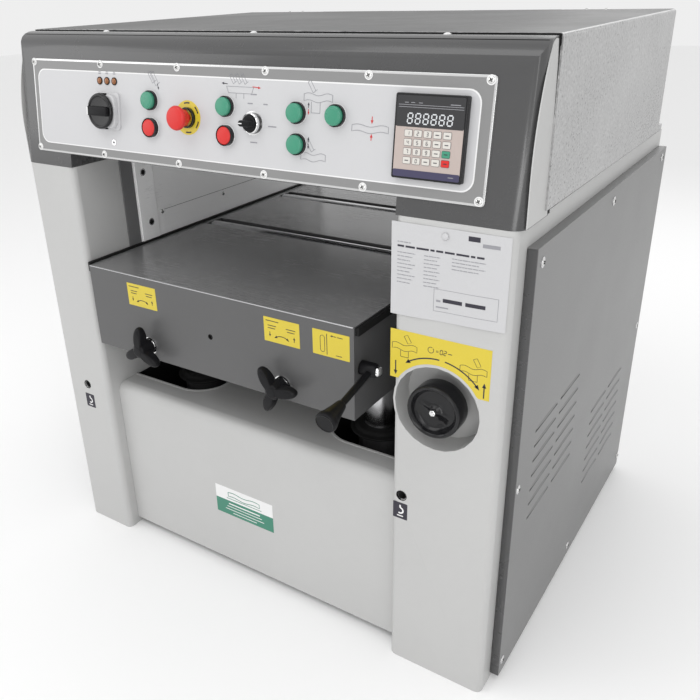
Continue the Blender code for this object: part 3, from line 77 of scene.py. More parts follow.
def capped(points):
    """A tube of closed rings (rows) with its first and last ring filled by one flat face each."""
    rows, columns = points.shape[:2]
    corners, faces = grid(points, close_columns=True)
    faces.append(list(range(columns)))
    faces.append(list(range((rows - 1) * columns, rows * columns)))
    return corners, faces


def plane(origin, across, up, out):
    """A placing rule: (a, b, c) goes to origin + a*across + b*up + c*out, for whole arrays at once."""
    basis = np.array([across, up, out], float)
    start = np.array(origin, float)
    return lambda a, b, c: start + np.stack(np.broadcast_arrays(a, b, c), axis=-1) @ basis


def facing_front(x=0.0, y=0.0, z=0.0):
    """On an upright face that looks at the operator: a is x, b is z."""
    return plane((x, y, z), (1, 0, 0), (0, 0, 1), (0, -1, 0))


def facing_back(x=0.0, y=0.0, z=0.0):
    """On an upright face that looks away from the operator: a is x, b is z."""
    return plane((x, y, z), (1, 0, 0), (0, 0, 1), (0, 1, 0))


def facing_side(x, sign, y=0.0):
    """On an upright face that looks left (sign -1) or right (sign 1): a is y, b is z."""
    return plane((x, y, 0), (0, 1, 0), (0, 0, 1), (sign, 0, 0))


def facing_up(x=0.0, y=0.0, z=0.0):
    """On a level face: a is x, b is y."""
    return plane((x, y, z), (1, 0, 0), (0, 1, 0), (0, 0, 1))


def shifted(place, a, b, out=0.0):
    """The same placing rule with its origin moved to (a, b, out)."""
    return lambda u, v, w: place(u + a, v + b, w + out)


def soften(corners, radius, steps=4):
    """A corner P between A and B becomes a parabola from P+r(A-P) to P+r(B-P); ends stay."""
    points = [np.array(corners[0], float)]
    t = np.linspace(0.0, 1.0, steps + 1)[:, None]
    for before, here, after in zip(corners, corners[1:], corners[2:]):
        before, here, after = (np.array(p, float) for p in (before, here, after))
        reach_in, reach_out = np.linalg.norm(before - here), np.linalg.norm(after - here)
        cut = min(radius, 0.45 * reach_in, 0.45 * reach_out)
        start = here + (before - here) * cut / reach_in
        end = here + (after - here) * cut / reach_out
        points += list((1 - t) ** 2 * start + 2 * t * (1 - t) * here + t ** 2 * end)
    points.append(np.array(corners[-1], float))
    return np.array(points)


def turned(profile, place, sides=48):
    """Profile (r, h) carried round: (r cos t, r sin t, h), t from 0 to a full turn."""
    profile = np.asarray(profile, float)
    t = np.linspace(0.0, TAU, sides, endpoint=False)
    r, h = profile[:, :1], profile[:, 1:]
    return grid(place(r * np.cos(t), r * np.sin(t), h + 0.0 * t), close_columns=True)


def rounded_rectangle(a0, a1, b0, b1, radius, steps=6):
    """Outline of a rectangle whose corners are quarter circles, as rows of (a, b)."""
    radius = max(min(radius, 0.499 * (a1 - a0), 0.499 * (b1 - b0)), 1e-6)
    t = np.linspace(0.0, math.pi / 2, steps + 1)
    parts = []
    for a, b, turn in ((a1 - radius, b1 - radius, 0), (a0 + radius, b1 - radius, 1),
                       (a0 + radius, b0 + radius, 2), (a1 - radius, b0 + radius, 3)):
        angle = t + turn * math.pi / 2
        parts.append(np.stack([a + radius * np.cos(angle), b + radius * np.sin(angle)], axis=-1))
    return np.concatenate(parts)


def tablet(place, a0, a1, b0, b1, low, high, corner=0.002, edge=0.0):
    """A flat body of rounded-rectangle section from low to high, its upper rim eased by edge."""
    levels = [(low, 0.0), (high - edge, 0.0)]
    if edge > 0.0:
        t = np.linspace(0.0, math.pi / 2, 4)[1:]
        levels += [(high - edge + edge * math.sin(k), edge * (1 - math.cos(k))) for k in t]
    rings = []
    for height, inset in levels:
        outline = rounded_rectangle(a0 + inset, a1 - inset, b0 + inset, b1 - inset, corner - inset)
        rings.append(place(outline[:, 0], outline[:, 1], height))
    return capped(np.array(rings))


def band(place, lower, upper, low, high):
    """A flat strip between two edge curves of (a, b) rows, with a thickness from low to high."""
    lower, upper = np.asarray(lower, float), np.asarray(upper, float)
    rings = [place(lower[:, 0], lower[:, 1], low), place(lower[:, 0], lower[:, 1], high),
             place(upper[:, 0], upper[:, 1], high), place(upper[:, 0], upper[:, 1], low)]
    return capped(np.stack(rings, axis=1))


def stroke(place, path, width, low=0.0, high=PRINT):
    """A strip of constant width along a path: each edge is the path moved half a width sideways."""
    path = np.asarray(path, float)
    along = np.gradient(path, axis=0)
    along /= np.maximum(np.linalg.norm(along, axis=1, keepdims=True), 1e-9)
    side = np.stack([-along[:, 1], along[:, 0]], axis=-1) * width / 2
    return band(place, path - side, path + side, low, high)


def lines(place, segments, width, low=0.0, high=PRINT):
    """Straight strokes between pairs of points."""
    return [stroke(place, [start, end], width, low, high) for start, end in segments]


def arrow(place, path, width, low=0.0, high=PRINT):
    """A stroke that ends in a triangular head four widths long."""
    path = np.asarray(path, float)
    along = path[-1] - path[-2]
    along /= np.linalg.norm(along)
    side = np.array([-along[1], along[0]])
    tip = path[-1]
    back = tip - along * width * 4.0
    head = band(place, [back - side * width * 1.7, tip - side * 1e-5],
                [back + side * width * 1.7, tip + side * 1e-5], low, high)
    trimmed = np.vstack([path[:-1], back + along * width])
    return [stroke(place, trimmed, width, low, high), head]


def arc(centre, radius, start, end, steps=16):
    """Points (a, b) on an arc, angles in degrees."""
    t = np.radians(np.linspace(start, end, steps))
    return np.stack([centre[0] + radius * np.cos(t), centre[1] + radius * np.sin(t)], axis=-1)


def ring(place, centre, inner, outer, low, high, sides=48):
    """A flat ring: its square section carried round the centre."""
    t = np.linspace(0.0, TAU, sides, endpoint=False)
    r = np.array([inner, outer, outer, inner])[:, None]
    h = np.array([low, low, high, high])[:, None]
    points = place(centre[0] + r * np.cos(t), centre[1] + r * np.sin(t), h + 0.0 * t)
    return grid(points, close_rows=True, close_columns=True)


def gather(shapes):
    """Several shapes as one list of points and one list of faces."""
    points, faces, count = [], [], 0
    for corners, quads in shapes:
        points.append(corners)
        faces += [[i + count for i in face] for face in quads]
        count += len(corners)
    return np.concatenate(points), faces


def show(name, mesh, material, body, smooth=35.0, bevel=0.0, replaces=(), slot=None):
    """Give a mesh its shading, its eased edges, its finish and the body that it moves with."""
    mesh.shade_smooth()
    mesh.set_sharp_from_angle(angle=math.radians(smooth))
    thing = bpy.data.objects.new(name, mesh)
    bpy.context.scene.collection.objects.link(thing)
    for one in (material if isinstance(material, tuple) else (material,)):
        mesh.materials.append(one)
    if bevel > 0.0:
        ease = thing.modifiers.new("eased edges", "BEVEL")
        ease.width = bevel
        ease.segments = 2
        ease.limit_method = "ANGLE"
        ease.angle_limit = math.radians(38.0)
        ease.harden_normals = True
    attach(thing, body)
    if replaces:
        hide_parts(*replaces)
    return thing


def piece(name, shapes, material, body="cabinet", **how):
    """One new piece from its shapes: doubles merged, then faces turned outwards."""
    corners, faces = gather(shapes)
    mesh = bpy.data.meshes.new(name)
    mesh.from_pydata(corners.tolist(), [], faces)
    form = bmesh.new()
    form.from_mesh(mesh)
    bmesh.ops.remove_doubles(form, verts=form.verts, dist=1e-6)
    bmesh.ops.recalc_face_normals(form, faces=form.faces)
    form.to_mesh(mesh)
    form.free()
    return show(name, mesh, material, body, **how)


def eased(node, material, bevel=0.0, sort=None):
    """A CAD node's own shape with its doubles merged, flats joined, curves shaded smooth and edges eased.

    sort, if given, is (axis, height): faces that look along the axis at that height take the second finish.
    """
    form = bmesh.new()
    form.from_mesh(nodes[node].data)
    bmesh.ops.remove_doubles(form, verts=form.verts, dist=2e-6)
    bmesh.ops.dissolve_limit(form, angle_limit=math.radians(0.5), verts=form.verts, edges=form.edges)
    form.normal_update()
    chosen = [0] * len(form.faces)
    if sort:
        axis, height = sort
        chosen = [int(face.normal[axis] > 0.95 and abs(face.calc_center_median()[axis] - height) < 0.03)
                  for face in form.faces]
    mesh = bpy.data.meshes.new(node + "_shape")
    form.to_mesh(mesh)
    form.free()
    slot = next(s["material_slot"] for s in frame["record"]["subparts"] if s["node"] == node)
    mesh.materials.clear()
    skin = show(node + "_skin", mesh, material, body_of_node[node], bevel=bevel, replaces=(node,), slot=slot)
    mesh.polygons.foreach_set("material_index", chosen)
    return skin


# ------------------------------------------------------------------ finishes


def group(name, label, kind, value):
    """An empty shader group with one named input and the outputs Height and Shade, and its two end nodes."""
    tree = bpy.data.node_groups.new(name, "ShaderNodeTree")
    socket = tree.interface.new_socket(label, in_out="INPUT", socket_type=kind)
    socket.default_value = value
    for output in ("Height", "Shade"):
        tree.interface.new_socket(output, in_out="OUTPUT", socket_type="NodeSocketFloat")
    return tree, tree.nodes.new("NodeGroupInput"), tree.nodes.new("NodeGroupOutput")


def noise(tree, vector, scale, detail=3.0, roughness=0.55):
    """A noise texture; scale is a number or the socket that gives it."""
    node = tree.nodes.new("ShaderNodeTexNoise")
    node.inputs["Detail"].default_value = detail
    node.inputs["Roughness"].default_value = roughness
    tree.links.new(vector, node.inputs["Vector"])
    if isinstance(scale, (int, float)):
        node.inputs["Scale"].default_value = scale
    else:
        tree.links.new(scale, node.inputs["Scale"])
    return node.outputs["Fac"]


def math_node(tree, operation, first, second=None, clamp=False):
    """One arithmetic node between sockets or numbers."""
    node = tree.nodes.new("ShaderNodeMath")
    node.operation = operation
    node.use_clamp = clamp
    for socket, value in zip(node.inputs, (first, second)):
        if value is None:
            continue
        if isinstance(value, (int, float)):
            socket.default_value = value
        else:
            tree.links.new(value, socket)
    return node.outputs[0]


def object_place(tree, stretch=None):
    """Object coordinates, stretched by a socket's vector where one is given."""
    where = tree.nodes.new("ShaderNodeTexCoord").outputs["Object"]
    if stretch is None:
        return where
    scaled = tree.nodes.new("ShaderNodeVectorMath")
    scaled.operation = "MULTIPLY"
    tree.links.new(where, scaled.inputs[0])
    tree.links.new(stretch, scaled.inputs[1])
    return scaled.outputs[0]


def mixed(tree, first, share, second):
    """first * share + second * (1 - share), as three arithmetic nodes."""
    return math_node(tree, "ADD", math_node(tree, "MULTIPLY", first, share),
                     math_node(tree, "MULTIPLY", second, 1.0 - share))


def powder_group():
    """Powder coat: fine orange peel for height; slow clouds and a little grain for shade."""
    tree, given, wanted = group("powder_coat", "Scale", "NodeSocketFloat", 900.0)
    where = object_place(tree)
    peel = noise(tree, where, given.outputs["Scale"], 2.0)
    clouds = noise(tree, where, 3.5, 4.0)
    grain = noise(tree, where, 60.0, 5.0)
    tree.links.new(peel, wanted.inputs["Height"])
    tree.links.new(mixed(tree, clouds, 0.75, grain), wanted.inputs["Shade"])
    return tree


def hammer_group():
    """Hammered paint: rounded cells of a cell texture bent by noise, with shade following the dents."""
    tree, given, wanted = group("hammer_paint", "Scale", "NodeSocketFloat", 220.0)
    where = object_place(tree)
    cells = tree.nodes.new("ShaderNodeTexVoronoi")
    cells.feature = "SMOOTH_F1"
    cells.inputs["Smoothness"].default_value = 0.9
    tree.links.new(where, cells.inputs["Vector"])
    tree.links.new(given.outputs["Scale"], cells.inputs["Scale"])
    ripple = noise(tree, where, math_node(tree, "MULTIPLY", given.outputs["Scale"], 1.4), 2.0)
    height = math_node(tree, "ADD", cells.outputs["Distance"], math_node(tree, "MULTIPLY", ripple, 0.5))
    tree.links.new(height, wanted.inputs["Height"])
    clouds = noise(tree, where, 5.0, 3.0)
    tree.links.new(mixed(tree, ripple, 0.65, clouds), wanted.inputs["Shade"])
    return tree


def grinding_group():
    """Ground or turned metal: noise stretched along the tool's direction, over slow stains."""
    tree, given, wanted = group("grinding_marks", "Stretch", "NodeSocketVector", (40.0, 1200.0, 400.0))
    marks = noise(tree, object_place(tree, given.outputs["Stretch"]), 1.0, 4.0, 0.6)
    stains = noise(tree, object_place(tree), 6.0, 5.0)
    tree.links.new(marks, wanted.inputs["Height"])
    tree.links.new(mixed(tree, marks, 0.4, stains), wanted.inputs["Shade"])
    return tree


POWDER, HAMMER, GRINDING = powder_group(), hammer_group(), grinding_group()


def finish(name, colour, rough, metal=0.0, effect=POWDER, setting=None, dent=0.00005, variety=0.08,
           gloss_variety=0.08, coat=0.0, shine=0.5):
    """A finish whose shade, gloss and relief follow one effect group; variety is the shade's half range."""
    material = bpy.data.materials.new(name)
    material.use_nodes = True
    tree = material.node_tree
    shader = tree.nodes["Principled BSDF"]
    shader.inputs["Metallic"].default_value = metal
    shader.inputs["Coat Weight"].default_value = coat
    shader.inputs["Specular IOR Level"].default_value = shine
    shader.inputs["Coat Roughness"].default_value = 0.12
    source = tree.nodes.new("ShaderNodeGroup")
    source.node_tree = effect
    if setting is not None:
        source.inputs[0].default_value = setting
    ramp = tree.nodes.new("ShaderNodeValToRGB")
    ramp.color_ramp.elements[0].position = 0.30
    ramp.color_ramp.elements[1].position = 0.70
    ramp.color_ramp.elements[0].color = (*[c * (1 - variety) for c in colour], 1.0)
    ramp.color_ramp.elements[1].color = (*[min(c * (1 + variety), 1.0) for c in colour], 1.0)
    tree.links.new(source.outputs["Shade"], ramp.inputs["Fac"])
    tree.links.new(ramp.outputs["Color"], shader.inputs["Base Color"])
    gloss = tree.nodes.new("ShaderNodeMapRange")
    gloss.inputs["From Min"].default_value = 0.3
    gloss.inputs["From Max"].default_value = 0.7
    gloss.inputs["To Min"].default_value = max(rough - gloss_variety, 0.02)
    gloss.inputs["To Max"].default_value = min(rough + gloss_variety, 1.0)
    tree.links.new(source.outputs["Shade"], gloss.inputs["Value"])
    tree.links.new(gloss.outputs["Result"], shader.inputs["Roughness"])
    relief = tree.nodes.new("ShaderNodeBump")
    relief.inputs["Strength"].default_value = 1.0
    relief.inputs["Distance"].default_value = dent
    tree.links.new(source.outputs["Height"], relief.inputs["Height"])
    tree.links.new(relief.outputs["Normal"], shader.inputs["Normal"])
    return material


def coated(name, colour, rough, grain, dent, variety, **how):
    """A paint, plastic or print over the powder effect; grain is the relief's scale."""
    return finish(name, colour, rough, setting=grain, dent=dent, variety=variety, **how)


ALONG_X, ALONG_Y, ALONG_Z = (30.0, 900.0, 900.0), (900.0, 30.0, 900.0), (900.0, 900.0, 30.0)
light_grey = coated("light_grey_powder", (0.465, 0.465, 0.460), 0.42, 700.0, 0.00004, 0.03)
slate_grey = coated("slate_grey_powder", (0.056, 0.056, 0.057), 0.27, 800.0, 0.00004, 0.05,
                    gloss_variety=0.05, coat=0.28)
panel_grey = finish("panel_grey_powder", (0.170, 0.170, 0.170), 0.36, 0.1, HAMMER, 620.0, 0.00006, 0.10)
hood_grey = finish("hood_hammer_paint", (0.43, 0.43, 0.43), 0.33, 0.35, HAMMER, 150.0, 0.0013, 0.28)
hood_top_grey = finish("hood_top_satin", (0.110, 0.110, 0.110), 0.46, 0.0, POWDER, 500.0, 0.00004, 0.06,
                       shine=0.25)
ground_iron = finish("ground_table_iron", (0.26, 0.26, 0.262), 0.25, 0.35, GRINDING, ALONG_X, 0.00002, 0.10,
                     0.06)
apron_paint = coated("table_apron_paint", (0.088, 0.088, 0.089), 0.40, 400.0, 0.00006, 0.08)
rough_iron = finish("rough_cast_iron", (0.055, 0.055, 0.057), 0.55, 0.3, HAMMER, 380.0, 0.0003, 0.18)
bright_steel = finish("turned_bright_steel", (0.62, 0.62, 0.63), 0.22, 1.0, GRINDING, ALONG_X, 0.00002, 0.06)
column_steel = finish("polished_column_steel", (0.55, 0.55, 0.56), 0.18, 1.0, GRINDING, ALONG_Z, 0.00002,
                      0.06)
zinc_sheet = finish("zinc_plated_sheet", (0.93, 0.93, 0.93), 0.34, 0.12, GRINDING, ALONG_Y, 0.00001, 0.03)
screw_zinc = finish("zinc_screws", (0.70, 0.70, 0.69), 0.25, 1.0, GRINDING, (300.0, 300.0, 300.0), 0.00002,
                    0.10)
# Near-black matte: real black screws, rings and seams, and painted shade in recesses, slots, holes and gaps.
black_and_painted_shade = finish("black_and_painted_recess_shade", (0.010, 0.010, 0.010), 0.7, variety=0.2, shine=0.1)
black_plastic = coated("moulded_black_plastic", (0.007, 0.007, 0.008), 0.38, 1500.0, 0.00004, 0.15,
                       shine=0.16)
gloss_black = coated("polished_black_plastic", (0.008, 0.008, 0.009), 0.20, 900.0, 0.00001, 0.1, shine=0.35)
seal_grey = coated("grey_seal_strip", (0.14, 0.14, 0.142), 0.5, 500.0, 0.00008, 0.1)
# Black rubber for the column wipers and seams, and also for strips of painted shade in the wells, under the
# hood's top edge and along the table's sides.
black_rubber_and_painted_shade = coated("black_rubber_and_painted_shade", (0.010, 0.010, 0.010), 0.6, 500.0, 0.00008, 0.15, shine=0.15)
green_cap = coated("green_button_cap", (0.040, 0.25, 0.155), 0.32, 900.0, 0.00001, 0.05, coat=0.12)
red_cap = coated("red_button_cap", (0.58, 0.014, 0.011), 0.38, 900.0, 0.00001, 0.05, coat=0.05)
amber_lens = coated("amber_lens", (0.26, 0.09, 0.02), 0.22, 900.0, 0.00001, 0.15, coat=0.4)
chrome = finish("chrome_ring", (0.80, 0.80, 0.80), 0.12, 1.0, GRINDING, ALONG_X, 0.00001, 0.03, 0.04)
plate_silver = finish("brushed_plate_edge", (0.66, 0.66, 0.66), 0.30, 0.9, GRINDING, ALONG_X, 0.00002, 0.05)
plate_band = coated("printed_grey_band", (0.220, 0.220, 0.220), 0.42, 900.0, 0.00002, 0.03)
plate_field = coated("printed_light_field", (0.515, 0.515, 0.525), 0.38, 900.0, 0.00002, 0.02)
print_grey = finish("printed_grey_lines", (0.26, 0.26, 0.28), 0.5, variety=0.05)
print_black = finish("printed_black", (0.02, 0.018, 0.03), 0.5, variety=0.1)
print_red = finish("printed_red", (0.55, 0.03, 0.03), 0.5, variety=0.05)
print_white = finish("printed_white", (0.74, 0.74, 0.74), 0.45, variety=0.02)
sticker_yellow = coated("yellow_sticker", (0.60, 0.475, 0.035), 0.36, 300.0, 0.00002, 0.04, coat=0.1)
sticker_green = coated("green_sticker", (0.03, 0.20, 0.13), 0.34, 300.0, 0.00002, 0.05, coat=0.2)
paper = coated("card_paper", (0.505, 0.505, 0.515), 0.5, 250.0, 0.00006, 0.015)
key_beige = coated("readout_beige_film", (0.44, 0.37, 0.34), 0.42, 700.0, 0.00002, 0.03)
key_cap = coated("readout_key_film", (0.60, 0.58, 0.54), 0.42, 700.0, 0.00002, 0.03)
readout_violet = finish("readout_violet_strip", (0.045, 0.04, 0.09), 0.4, variety=0.05)
readout_glass = finish("readout_window", (0.018, 0.018, 0.020), 0.14, variety=0.1, coat=0.5)
digit_grey = finish("readout_digits", (0.62, 0.64, 0.66), 0.4, variety=0.03)
motor_enamel = coated("motor_enamel", (0.05, 0.10, 0.15), 0.40, 500.0, 0.00006, 0.1)
belt_rubber = finish("belt_rubber", (0.018, 0.018, 0.018), 0.55, effect=GRINDING, setting=ALONG_Z,
                     dent=0.00008, variety=0.2)
chain_steel = finish("oiled_chain", (0.16, 0.15, 0.14), 0.38, 0.9, GRINDING, (160.0, 160.0, 160.0), 0.0002,
                     0.25)

# ------------------------------------------------------------------ places read from the model


def low(node):
    """A node's lowest corner."""
    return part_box(node)[0]


def high(node):
    """A node's highest corner."""
    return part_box(node)[1]


def middle(node):
    """The middle of a node's box."""
    return (low(node) + high(node)) / 2


FRONT = low("right_casing").y
CONSOLE_FOOT = low("front_console").z
OPENING_LEFT = high("left_casing").x
OPENING_RIGHT = low("right_casing").x
CABINET_TOP = high("right_casing").z
TABLE_FRONT = low("table_bed").y
TABLE_TOP = high("table_bed").z
TABLE_LEFT, TABLE_RIGHT = low("table_bed").x, high("table_bed").x
PANEL_OUT = high("right_side_panel").x
CASING_SIDE = high("right_casing").x
CONSOLE_HALF = high("front_console").x
DUST_WALL = 0.4335
FEED_ROLLER_RADIUS, INFEED_FLUTES = 0.038, 30
SCREW_PITCH, SCREW_SPROCKET_HEIGHT = 0.010, 0.046
KNIVES = 4
READOUT_HALF, READOUT_RISE = 0.0585, 0.0865
LOUVRE_GROUPS = ((0.076, 0.508), (0.455, 0.356))
LOUVRE_COLUMNS, LOUVRE_COLUMN_PITCH, LOUVRE_LENGTH = 2, 0.131, 0.112
LOUVRE_ROWS, LOUVRE_PITCH, LOUVRE_RISE = 7, 0.030, 0.0014
KNOB_CORE, KNOB_REACH, KNOB_SHARPNESS = 0.0130, 0.0500, 2.6
KNOB_TURNS = {"left": 90.0, "right": 127.0}
WHEEL_RIM, WHEEL_LIP, WHEEL_DISH = 0.0465, 0.0075, 0.0105
POCKET_STICKER_GAP = 0.0800

console_face = plane((0, FRONT, CONSOLE_FOOT), (1, 0, 0), (0, CONSOLE_LEAN, 1),
                     (0, -math.cos(CONSOLE_TILT), math.sin(CONSOLE_TILT)))
front_face = facing_front(y=FRONT)
base_face = facing_front(y=low("front_base_panel").y)
apron_face = facing_front(y=TABLE_FRONT)
left_wall = facing_side(OPENING_LEFT, 1)


def console_axis(x, height):
    """A placing rule round an axis that stands square on the console's front at (x, height)."""
    start = console_face(x, height, 0.0)
    return plane(start, (1, 0, 0), (0, math.sin(CONSOLE_TILT), math.cos(CONSOLE_TILT)),
                 (0, -math.cos(CONSOLE_TILT), math.sin(CONSOLE_TILT)))


PLATE_TOP = 0.003
PLATE_LOW, PLATE_HIGH = 0.0275, 0.2000
PLATE_LEFT, PLATE_RIGHT = low("control_plate").x, high("control_plate").x


def screw(place, a, b, radius, rise, slots, heads):
    """A pan head, profile r = R cos t, h = rise (0.35 + 0.65 sin t), and two strips on it that stand for the
    shade of a cross recess.
    """
    spot = shifted(place, a, b)
    t = np.linspace(0.0, math.pi / 2, 7)
    profile = np.stack([radius * np.cos(t), rise * (0.35 + 0.65 * np.sin(t))], axis=-1)
    profile = np.vstack([[0.0, 0.0], [radius, 0.0], profile[:-1], [0.0, rise]])
    heads.append(turned(profile, spot, 20))
    for turn in (0.5, 0.5 + math.pi / 2):
        reach = radius * 0.55 * np.array([math.cos(turn), math.sin(turn)])
        # No recess is cut: two strips standing proud of the head are painted dark as its shade.
        slots.append(stroke(spot, [-reach, reach], radius * 0.22, rise * 0.90, rise + 0.0002))


def screws(name, place, spots, radius, rise, body="cabinet", metal=None):
    """A set of equal screws, and dark strips of painted shade for their cross recesses, as two pieces."""
    heads, slots = [], []
    for a, b in spots:
        screw(place, a, b, radius, rise, slots, heads)
    piece(name, heads, metal or screw_zinc, body)
    piece(name + "_painted_recess_shade", slots, black_and_painted_shade, body)


def axis_x(y, z):
    """A placing rule for parts turned about a line along X through (y, z)."""
    return plane((0, y, z), (0, 1, 0), (0, 0, 1), (1, 0, 0))


# ------------------------------------------------------------------ parts that keep the model's own shape

for node, metal, ease in (
        ("left_casing", light_grey, 0.0010), ("right_casing", light_grey, 0.0010),
        ("front_base_panel", light_grey, 0.0008), ("rear_base_panel", light_grey, 0.0008),
        ("left_guide_plate", zinc_sheet, 0.0006), ("right_guide_plate", zinc_sheet, 0.0006),
        ("base_frame", rough_iron, 0.0010), ("head_frame", rough_iron, 0.0012),
        ("front_console", slate_grey, 0.0008), ("dust_hood", hood_grey, 0.0008),
        ("left_side_panel", panel_grey, 0.0006), ("right_side_panel", panel_grey, 0.0006),
        ("pressure_bar", rough_iron, 0.0006), ("chip_breaker", rough_iron, 0.0006),
        ("anti_kickback_fingers", bright_steel, 0.0004), ("handwheel_gearbox", rough_iron, 0.0020),
        ("feed_gearmotor", motor_enamel, 0.0015), ("lift_gearmotor", motor_enamel, 0.0015),
        ("cutter_bearing_left", rough_iron, 0.0008), ("cutter_bearing_right", rough_iron, 0.0008),
        ("cutter_pulley", rough_iron, 0.0005), ("motor_pulley", rough_iron, 0.0005),
        ("cutter_block", bright_steel, 0.0004), ("hood_hinge", bright_steel, 0.0004),
        ("drive_belt", belt_rubber, 0.0006), ("feed_chain", chain_steel, 0.0006),
        ("lift_chain", chain_steel, 0.0006), ("feed_drive_sprocket", bright_steel, 0.0004)):
    eased(node, metal, ease)
eased("table_bed", (apron_paint, ground_iron), 0.0008, sort=(2, TABLE_TOP))
eased("hood", (hood_grey, hood_top_grey), 0.0010, sort=(2, high("hood").z))


def columns_and_screws():
    """Polished lifting columns, their black wipers on the base, and the lead screws with a round thread."""
    for row in ("front", "rear"):
        for side in ("left", "right"):
            node = f"lifting_column_{row}_{side}"
            where, foot, head = middle(node), low(node).z, high(node).z
            radius = (high(node).x - low(node).x) / 2
            spot = facing_up(where.x, where.y)
            profile = [(0, foot), (radius, foot), (radius, head), (0, head)]
            piece(node + "_bar", [turned(soften(profile, 0.002, 3), spot, 64)], column_steel, "table",
                  replaces=(node,), slot="steel")
            top = high("base_frame").z
            wiper = [(radius + 0.0006, top), (radius + 0.026, top), (radius + 0.026, top + 0.004),
                     (radius + 0.018, top + 0.006), (radius + 0.012, top + 0.013),
                     (radius + 0.0006, top + 0.015)]
            wiper = np.vstack([soften(wiper, 0.002, 3), [wiper[0]]])
            piece(f"column_wiper_{row}_{side}", [turned(wiper, spot, 64)], black_rubber_and_painted_shade)
    for side in ("left", "right"):
        node = f"lead_screw_{side}"
        where, foot, head = joints[node + "_spin"]["pos_m"], low(node).z, high(node).z
        spot = facing_up(where[0], where[1])
        sprocket = SCREW_SPROCKET_HEIGHT
        turns, steps, sides = int((head - 0.060) / SCREW_PITCH), 8, 32
        z = np.linspace(0.060, head - 0.004, turns * steps)[:, None]
        t = np.linspace(0.0, TAU, sides, endpoint=False)[None, :]
        radius = 0.0139 + 0.0010 * np.clip(1.6 * np.cos(TAU * z / SCREW_PITCH - t), -1, 1)
        thread = capped(spot(radius * np.cos(t), radius * np.sin(t), z + 0.0 * t))
        wheel = [(0, foot), (0.0148, foot), (0.0148, sprocket - 0.003), (0.039, sprocket - 0.003),
                 (0.039, sprocket + 0.003), (0.0148, sprocket + 0.003), (0.0148, 0.061), (0, 0.061)]
        piece(node + "_thread", [thread, turned(soften(wheel, 0.001, 2), spot, 40)], bright_steel, node,
              replaces=(node,), slot="steel")


def rollers():
    """Plain bed rollers in the table; a fluted infeed roller and a smooth outfeed roller above them."""
    for node in ("infeed_bed_roller", "outfeed_bed_roller"):
        y, z = joints[node + "_spin"]["pos_m"][1:]
        left, right, radius = low(node).x, high(node).x, high(node).z - z
        profile = [(0, left), (0.010, left), (0.010, left + 0.0113), (radius, left + 0.0113),
                   (radius, right - 0.0113), (0.010, right - 0.0113), (0.010, right), (0, right)]
        piece(node + "_bar", [turned(soften(profile, 0.0012, 3), axis_x(y, z), 72)], column_steel, node,
              replaces=(node,), slot="steel")
    for node, flutes in (("infeed_roller", INFEED_FLUTES), ("outfeed_roller", 0)):
        y, z = joints[node + "_spin"]["pos_m"][1:]
        left, right, radius = TABLE_LEFT + 0.004, OPENING_RIGHT - 0.015, FEED_ROLLER_RADIUS
        spot = axis_x(y, z)
        x = np.linspace(left, right, 90)[:, None]
        t = np.linspace(0.0, TAU, 180, endpoint=False)[None, :]
        r = radius - 0.0012 * (flutes > 0) * (0.5 - 0.5 * np.clip(2.2 * np.cos(flutes * t - 26.0 * x), -1,
                1)) + 0.0 * x
        barrel = capped(spot(r * np.cos(t), r * np.sin(t), x + 0.0 * t))
        ends = low(node).x, high(node).x
        chain = middle("feed_chain").x
        shaft = [(0, ends[0]), (0.0148, ends[0]), (0.0148, chain - 0.003), (0.0395, chain - 0.003),
                 (0.0395, chain + 0.003), (0.0148, chain + 0.003), (0.0148, ends[1]), (0, ends[1])]
        piece(node + "_barrel", [barrel, turned(soften(shaft, 0.001, 2), spot, 48)], bright_steel, node,
              replaces=(node,), slot="steel")
    rod_y, rod_z = joints["anti_kickback_swing"]["pos_m"][1:]
    left, right = low("anti_kickback_rod").x, high("anti_kickback_rod").x
    piece("kickback_bar", [turned(soften([(0, left), (0.007, left), (0.007, right), (0, right)], 0.001, 2),
            axis_x(rod_y, rod_z), 32)], bright_steel, replaces=("anti_kickback_rod",), slot="steel")


def knives():
    """Four knives and their gibs on the cutter block, each set in a gullet."""
    y, z = joints["cutter_spin"]["pos_m"][1:]
    left, right = TABLE_LEFT + 0.006, OPENING_RIGHT - 0.017
    blades, gibs = [], []
    for number in range(KNIVES):
        angle = math.radians(360.0 / KNIVES * number + 68.0)
        outward = (0, math.cos(angle), math.sin(angle))
        around = (0, -math.sin(angle), math.cos(angle))
        spot = plane((0, y, z), (1, 0, 0), outward, around)
        blades.append(tablet(spot, left, right, 0.040, 0.0548, -0.0015, 0.0015, 0.0005, 0.0005))
        gibs.append(tablet(spot, left + 0.002, right - 0.002, 0.038, 0.0500, 0.0015, 0.0085, 0.0015, 0.0010))
    piece("cutter_knives", blades, bright_steel, "cutter")
    piece("cutter_gibs", gibs, column_steel, "cutter")


